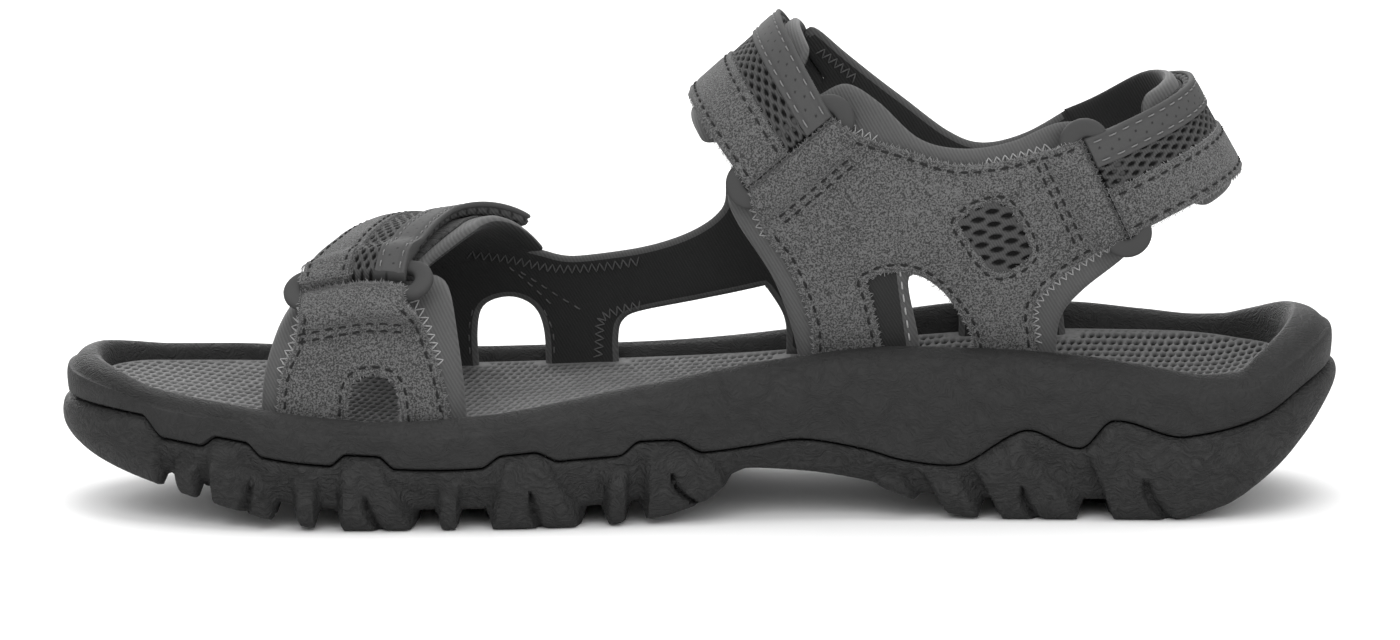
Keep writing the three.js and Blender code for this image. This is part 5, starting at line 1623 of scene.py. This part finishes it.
class SANDAL_OT_lateral(bpy.types.Operator):
    """Outer side: padded wall with its legs and windows, vamp, and the base straps under the closures"""

    bl_idname = "sandal.lateral"
    bl_label = "Outer side"

    def execute(self, context):
        sizes = context.scene.sandal_sizes
        outline = outline_of(LATERAL_RUNS)
        edges = {"overlay": LATERAL_OVERLAY, "roll": LATERAL_ROLL}
        wall = panel([outline], LATERAL, *LATERAL_PAD, LATERAL_ROUND, LATERAL_SPACING, **edges)
        _, faces, uv, kinds = wall
        hidden = away(uv[faces].mean(1), [np.array(line) for line in JOINED_EDGES]) < JOINED_REACH
        kinds[len(faces) // 2 :][hidden[len(faces) // 2 :]] = UNDER
        straps = {"vamp": self.vamp(), "instep": self.base("instep", INSTEP), "heel": self.base("heel", HEEL)}
        parts = []
        for surface, places, size in straps.values():
            parts.append(band(surface, *places, *STRAP_BASE, STRAP_BASE_ROUND, *size))
        points, faces, uv, kinds = joined(wall, *parts)
        skins = [finish("lining_face"), finish("lining_inside"), finish("suede_nap")]
        node = "lateral_upper"
        obj = new_piece(node + "_lining", points, faces, skins, "padded_lining", [node], uv, kinds)
        for name, strap in straps.items():
            self.pile(name, *strap)
        outside = LATERAL_PAD[1] + LATERAL_OVERLAY[1] - LATERAL_STITCH_DEPTH
        rows = [inset_line([run], -LATERAL_OVERLAY[0] - EDGE_ROW) for run in LATERAL_RUNS if len(run) > 2]
        lines = [line for row in rows for line in stitches(LATERAL, row, outside, sizes)]
        sew("lateral_outer_stitches", lines, sizes.thread, "thread_dark", "suede")
        lines = [line for row in INNER_SEAMS for line in stitches(LATERAL, spline(row), 0.0, sizes, face=-1)]
        for row in INNER_OVERLOCK:
            lines += zigzag(LATERAL, spline(row), 0.0, INNER_REACH, INNER_LIFT)
        sew("lateral_inner_seams", lines, sizes.thread * INNER_THREAD, "thread_inside", "padded_lining")
        return {"FINISHED"}

    @staticmethod
    def pile(name, surface, places, size):
        """Loop pile on a strap, short of its edges."""

        def patch(u, v, offset):
            return surface(lerp(*PILE_ACROSS, u), lerp(*PILE_ALONG, v), offset)

        width = size[0] * (PILE_ACROSS[1] - PILE_ACROSS[0])
        length = size[1] * (PILE_ALONG[1] - PILE_ALONG[0])
        points, faces, uv, _ = band(patch, *places, *LOOP_PILE, PILE_ROUND, width, length)
        new_piece(name + "_loop_pile", points, faces, [finish("loop_pile")], "padded_lining", uv=uv)

    @staticmethod
    def vamp():
        front, rear = through(VAMP, "front", "angle"), through(VAMP, "rear", "angle")

        def surface(u, v, offset):
            angle = lerp(lerp(VAMP_START_FRONT, VAMP_START_REAR, u), VAMP["angle"][-1], v)
            return forefoot_surface(lerp(front(angle), rear(angle), u), angle, offset)

        return surface, VAMP_GRID, VAMP_SIZE

    @staticmethod
    def base(name, arch):
        on_arch = arch_surface(arch)
        end = BASE_END[name]

        def surface(u, v, offset):
            angle = lerp(end, LATERAL_PLUG, v)
            narrow = round_off(angle - end + BASE_ROUND / 4, BASE_ROUND)
            high = lerp(BASE_HIGH, BASE_JOIN, smooth(angle, BASE_JOIN_FROM, BASE_JOIN_TO))
            return on_arch(0.5 + (lerp(BASE_LOW, high, u) - 0.5) * narrow, angle, offset)

        return surface, BASE_GRID, BASE_SIZE


# Closing straps: distance of their start from the ring's line, and places and layer that they are measured at
CLOSURE_START, CLOSURE_PLACES, CLOSURE_OUT, CLOSURE_WIDTH_AT = 0.2, 200, 6.0, 0.3


class Closure:
    """One closing strap: its surface over (across, along), its width and its length."""

    def __init__(self, name):
        self.name = name
        self.end = FREE_END[name]
        self.arch = {"instep": INSTEP, "heel": HEEL}.get(name)
        if self.arch:
            self.on_arch = arch_surface(self.arch)
            low = self.arch["low"]
            reach = math.hypot(low[2], low[3]) - ARCH_ALLOWANCE + STRAP[0]
            self.start = math.degrees(math.asin((CLOSURE_START / reach) ** (ARCH_POWER / 2)))
        else:
            self.front, self.rear = through(FOREFOOT, "front", "angle"), through(FOREFOOT, "rear", "angle")
        self.places = np.linspace(0, 1, CLOSURE_PLACES)
        self.run = run_of(self.at(0.5 + 0 * self.places, self.places, CLOSURE_OUT))
        self.length = self.run[-1]
        edge = self.at(np.array([0.0, 1.0]), np.full(2, CLOSURE_WIDTH_AT), CLOSURE_OUT)
        self.width = float(np.linalg.norm(edge[1] - edge[0]))

    def at(self, across, along, offset):
        """Place on the strap: along is a share of its angle from the ring to its free end."""
        if self.arch:
            return self.on_arch(across, lerp(self.start, self.end, along), offset)
        start = lerp(RING_ANGLE_FRONT, RING_ANGLE_REAR, across) + CLOSURE_START * DEGREES_PER_MM
        angle = lerp(start, self.end, along)
        return forefoot_surface(lerp(self.front(angle), self.rear(angle), across), angle, offset)

    def even(self, across, share, offset):
        """Place at a share of the strap's length."""
        return self.at(across, np.interp(share * self.length, self.run, self.places), offset)

    def strip(self, near, far):
        def surface(u, v, offset):
            return self.even(lerp(near, far, u), v, offset)

        return surface

    def raised(self, level):
        """Outer face: raised where the strap folds round its ring."""
        fold, start, end = STRIP_FOLD[self.name]

        def outer(u, v):
            return level + fold * (1 - smooth(v * self.length, start, end))

        return outer


# Strips on a closing strap: a thread has its share of the sewing thread, rows are shares of the strip's width
STRIPS = {
    "suede": {
        "reach": (0.0, 0.47),
        "slot": "suede",
        "skin": "suede_nap",
        "thread": ("thread_dark", 0.85),
        "radius": 0.7,
        "rows": (0.14, 0.86),
        "count": 120,
    },
    "trim": {
        "reach": (0.70, 1.0),
        "slot": "smooth_trim",
        "skin": "trim_skin",
        "thread": ("thread_trim", 0.6),
        "radius": 0.5,
        "rows": (0.18, 0.8),
        "count": 300,
    },
}
STRIP_ACROSS, STRIP_END = eased(25, 0.08), 0.02
# Furrow of a strip's stitches: depth and half width; depth of the stitches; points and ends of a row
STRIP_FURROW_DEPTH, STRIP_FURROW_WIDTH, STRIP_STITCH_DEPTH = 0.35, 0.6, 0.3
STRIP_ROW_POINTS, STRIP_ROW_ENDS = 200, (0.01, 0.99)
# The trim's small holes are only painted, as dark spots of shade
# Small holes along a trim strip: rows as place across its width and shift along it in pitches, pitch, radius
PINHOLE_ROWS, PINHOLE_PITCH, PINHOLE_RADIUS = ((0.4, 0.0), (0.58, 0.5)), 4.6, 0.36
# Webbing: reach across the strap, rise over it, radius of its edges, depth of its holes, places along it
WEBBING_REACH, WEBBING_RISE, WEBBING_ROUND, WEBBING_HOLES, WEBBING_COUNT = (0.015, 0.985), 0.5, 0.9, 0.7, 170
WEBBING_END = eased(6, 0.04)[:5]
WEBBING_ACROSS = np.r_[WEBBING_END, np.linspace(0.05, 0.95, 80), 1 - WEBBING_END[::-1]]


def pinholes(places, width):
    """1 in the two staggered rows of small holes along a trim strip, which are only painted dark as shade."""
    holes = np.zeros(len(places))
    for place, shift in PINHOLE_ROWS:
        along = places[:, 1] / PINHOLE_PITCH - shift
        along = (along - np.round(along)) * PINHOLE_PITCH
        near = np.hypot(places[:, 0] - width * place, along)
        holes = np.maximum(holes, 1 - smooth(near, PINHOLE_RADIUS * 0.5, PINHOLE_RADIUS))
    return holes


class SANDAL_OT_straps(bpy.types.Operator):
    """Closing straps: knit webbing with a suede strip and a smooth trim sewn on"""

    bl_idname = "sandal.straps"
    bl_label = "Closing straps"

    def execute(self, context):
        for name in ("forefoot", "instep", "heel"):
            strap = Closure(name)
            self.webbing(strap)
            for kind in STRIPS:
                self.strip(strap, kind, context.scene.sandal_sizes)
        return {"FINISHED"}

    @staticmethod
    def webbing(strap):
        """Knit webbing of a strap."""

        def holes(u, v):
            return knit(v * strap.length, u * strap.width, WEBBING_PITCH)

        def relief(u, v):
            return -WEBBING_HOLES * holes(u, v)

        along = np.linspace(0, 1, WEBBING_COUNT)
        outer = strap.raised(STRAP[1] + WEBBING_RISE)
        layer, size = (STRAP[0], outer), (strap.width, strap.length)
        surface = strap.strip(*WEBBING_REACH)
        points, faces, uv, _ = band(surface, WEBBING_ACROSS, along, *layer, WEBBING_ROUND, *size, relief)
        node = strap.name + "_strap"
        # Painted shade: the webbing's holes are coloured dark, for the shade seen through them
        shade = holes(uv[:, 0] / strap.width, uv[:, 1] / strap.length)
        skins = [finish("knit_yarn")]
        new_piece(node + "_webbing", points, faces, skins, "mesh_webbing", [node], uv, shade=shade)

    @staticmethod
    def strip(strap, kind, sizes):
        """One strip sewn on a strap, with its stitches, and with fibres or small holes."""
        make = STRIPS[kind]
        near, far = make["reach"]
        surface = strap.strip(near, far)
        width, length = strap.width * (far - near), strap.length
        outer = strap.raised(STRIP[1])

        def relief(u, v):
            across = [(u - place) * width / STRIP_FURROW_WIDTH for place in make["rows"]]
            return sum(-STRIP_FURROW_DEPTH * np.exp(-(gap**2)) for gap in across)

        along = eased(make["count"], STRIP_END)
        layer, size = (STRIP[0], outer), (width, length)
        points, faces, uv, _ = band(surface, STRIP_ACROSS, along, *layer, make["radius"], *size, relief)
        node = f"{strap.name}_strap_{kind}"
        # Painted shade: the trim's small holes are dark spots in its colour
        shade = None if kind == "suede" else np.tile(pinholes(uv[: len(uv) // 2], width), 2)
        skins, slot = [finish(make["skin"])], make["slot"]
        new_piece(node + "_strip", points, faces, skins, slot, [node], uv, shade=shade)
        lines = []
        for place in make["rows"]:
            row = np.column_stack(
                [np.full(STRIP_ROW_POINTS, place), np.linspace(*STRIP_ROW_ENDS, STRIP_ROW_POINTS)]
            )
            lines += stitches(surface, row, lowered(outer, STRIP_STITCH_DEPTH), sizes)
        thread, share = make["thread"]
        sew(node + "_stitches", lines, sizes.thread * share, thread, slot)
        if kind == "suede":
            loop = np.array([(0, 0), (width, 0), (width, length), (0, length)])

            def flat_surface(a, b, offset):
                return surface(a / width, b / length, offset)

            def flat_outer(a, b):
                return outer(a / width, b / length)

            lines = fibres(flat_surface, loop, flat_outer)
            sew(node + "_fibres", lines, FIBRE, "fibre", slot, FIBRE_SIDES)


class SANDAL_OT_rings(bpy.types.Operator):
    """Plastic rings with rounded edges and one slot"""

    bl_idname = "sandal.rings"
    bl_label = "Rings"

    # Places round a ring and round its section, and powers that round the section off across and up
    ROUND, SECTION = 96, 20
    POWER_ACROSS, POWER_UP = 0.6, 0.7

    def execute(self, context):
        for name in ("forefoot", "instep", "heel"):
            origin, first, second, third = self.place(name)
            flat = self.profile()
            points = origin + flat[:, :1] * first + flat[:, 1:2] * second + flat[:, 2:] * third
            faces = [tuple(face) for face in grid_faces(self.ROUND, self.SECTION, True)]
            last = (self.ROUND - 1) * self.SECTION
            for k in range(self.SECTION):
                after = (k + 1) % self.SECTION
                faces.append((last + k, k, after, last + after))
            skins, node = [finish("ring_gloss")], name + "_ring"
            new_piece(node + "_plate", points, faces, skins, "ring_plastic", [node], sharp=MOULDED_SHARP)
        return {"FINISHED"}

    @classmethod
    def profile(cls):
        """Stadium ring: a rounded section swept between the outer edge and the slot."""
        t = np.linspace(0, 2 * np.pi, cls.ROUND, endpoint=False)

        def stadium(length, width):
            half = (length - width) / 2
            x = np.cos(t) * width / 2 + np.sign(np.cos(t)) * half
            return np.column_stack([x, np.sin(t) * width / 2])

        outer, slot = stadium(RING_LENGTH, RING_WIDTH), stadium(RING_SLOT_LENGTH, RING_SLOT_WIDTH)
        turn = np.linspace(0, 2 * np.pi, cls.SECTION, endpoint=False)
        across = 0.5 + 0.5 * np.sign(np.cos(turn)) * np.abs(np.cos(turn)) ** cls.POWER_ACROSS
        up = RING_THICK * (0.5 + 0.5 * np.sign(np.sin(turn)) * np.abs(np.sin(turn)) ** cls.POWER_UP)
        flat = lerp(slot[:, None], outer[:, None], across[None, :, None])
        return np.dstack([flat, np.broadcast_to(up, flat.shape[:2])]).reshape(-1, 3)

    @staticmethod
    def place(name):
        """Origin and axes of a ring on its strap's surface."""
        arch = {"instep": INSTEP, "heel": HEEL}.get(name)
        if arch:
            at = arch_surface(arch)
            origin = at(0.5, 0.0, RING_LIFT)
            along = at(1.0, 0.0, RING_LIFT) - at(0.0, 0.0, RING_LIFT)
            way = at(0.5, 0.0, RING_LIFT) - at(0.5, -1.0, RING_LIFT)
        else:

            def over(x, more):
                return forefoot_surface(np.float64(x), ring_angle(x) + more, RING_LIFT)

            middle = (RING_FRONT + RING_REAR) / 2 + RING_SHIFT
            origin = over(middle, 0)
            along = over(RING_REAR, 0) - over(RING_FRONT, 0)
            way = over(middle, 1) - over(middle, -1)
        first = along / np.linalg.norm(along)
        second = way - first * (way @ first)
        second /= np.linalg.norm(second)
        third = np.cross(first, second)
        if third[1] > 0:
            first, third = -first, -third
        return origin, first, second, third


# Camera, from the photograph's viewing angle: distance and target in millimetres, elevation in degrees
CAMERA_DISTANCE, CAMERA_ELEVATION, CAMERA_TARGET = 1800, 9, (-0.23, 0, 40)
CAMERA_LENS, CAMERA_SENSOR, CAMERA_REACH = 200.9, 36, 100
# Floor: half size in metres, and its grey; light of the sky
FLOOR_HALF, FLOOR_GREY, SKY_STRENGTH = 8, 0.9, 0.75
# Lights: place and size in metres, power in watts; they all point at a place over the floor
LIGHTS = (
    ("key", (-0.3, -1.5, 1.1), 1.4, 15),
    ("fill", (0.9, -1.6, 0.6), 1.2, 7),
    ("top", (0.1, 0.2, 1.8), 1.4, 17),
    ("back", (-0.3, 1.7, 0.7), 1.4, 26),
)
LIT_PLACE = (0, 0, 0.05)


class SANDAL_OT_stage(bpy.types.Operator):
    """Camera, pale floor and soft studio light"""

    bl_idname = "sandal.stage"
    bl_label = "Stage"

    def execute(self, context):
        scene = context.scene
        floor = bpy.data.meshes.new("floor")
        corners = [(FLOOR_HALF * x, FLOOR_HALF * y, 0) for x, y in ((-1, -1), (1, -1), (1, 1), (-1, 1))]
        floor.from_pydata(corners, [], [(0, 1, 2, 3)])
        ground = bpy.data.objects.new("floor", floor)
        scene.collection.objects.link(ground)
        pale = bpy.data.materials.new("floor_pale")
        pale.use_nodes = True
        shader = pale.node_tree.nodes["Principled BSDF"]
        shader.inputs["Base Color"].default_value = (FLOOR_GREY, FLOOR_GREY, FLOOR_GREY, 1)
        shader.inputs["Roughness"].default_value = 0.9
        shader.inputs["Specular IOR Level"].default_value = 0.1
        floor.materials.append(pale)
        ground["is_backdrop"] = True

        camera = bpy.data.objects.new("camera", bpy.data.cameras.new("camera"))
        scene.collection.objects.link(camera)
        camera.data.lens = CAMERA_LENS
        camera.data.sensor_width = CAMERA_SENSOR
        camera.data.clip_end = CAMERA_REACH
        tilt = math.radians(CAMERA_ELEVATION)
        target = Vector(CAMERA_TARGET) * MM
        back = Vector((0, -math.cos(tilt), math.sin(tilt)))
        camera.location = target + back * CAMERA_DISTANCE * MM
        camera.rotation_euler = back.to_track_quat("Z", "Y").to_euler()
        scene.camera = camera

        world = bpy.data.worlds.new("studio")
        world.use_nodes = True
        sky = world.node_tree.nodes["Background"]
        sky.inputs["Color"].default_value = (1, 1, 1, 1)
        sky.inputs["Strength"].default_value = SKY_STRENGTH
        scene.world = world
        for name, place, size, power in LIGHTS:
            light = bpy.data.lights.new(name, "AREA")
            light.size = size
            light.energy = power
            lamp = bpy.data.objects.new(name, light)
            lamp.location = place
            lamp.rotation_euler = (Vector(place) - Vector(LIT_PLACE)).to_track_quat("Z", "Y").to_euler()
            scene.collection.objects.link(lamp)
        scene.view_settings.view_transform = "Standard"
        return {"FINISHED"}


class SANDAL_PT_panel(bpy.types.Panel):
    """Lists the sandal's pieces, sizes and colours"""

    bl_idname = "SANDAL_PT_panel"
    bl_label = "Hiking sandal"
    bl_space_type = "VIEW_3D"
    bl_region_type = "UI"
    bl_category = "Sandal"

    def draw(self, context):
        for operator in OPERATORS:
            self.layout.operator(operator.bl_idname)
        for group in (context.scene.sandal_sizes, context.scene.sandal_colours):
            for name in group.__annotations__:
                self.layout.prop(group, name)


OPERATORS = (
    SANDAL_OT_outsole,
    SANDAL_OT_midsole,
    SANDAL_OT_footbed,
    SANDAL_OT_pads,
    SANDAL_OT_window,
    SANDAL_OT_suede,
    SANDAL_OT_lateral,
    SANDAL_OT_straps,
    SANDAL_OT_rings,
    SANDAL_OT_stage,
)
CLASSES = (SandalColours, SandalSizes, *OPERATORS, SANDAL_PT_panel)


def register():
    for cls in CLASSES:
        bpy.utils.register_class(cls)
    bpy.types.Scene.sandal_colours = PointerProperty(type=SandalColours)
    bpy.types.Scene.sandal_sizes = PointerProperty(type=SandalSizes)


def unregister():
    del bpy.types.Scene.sandal_sizes
    del bpy.types.Scene.sandal_colours
    for cls in reversed(CLASSES):
        bpy.utils.unregister_class(cls)


def main():
    register()
    for operator in OPERATORS:
        getattr(bpy.ops.sandal, operator.bl_idname.split(".")[1])()
    boxes = {"cad": CAD_BOX, "visual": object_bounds()}
    {name: [[float(v) for v in corner] for corner in box] for name, box in boxes.items()}


if __name__ == "__main__":
    main()
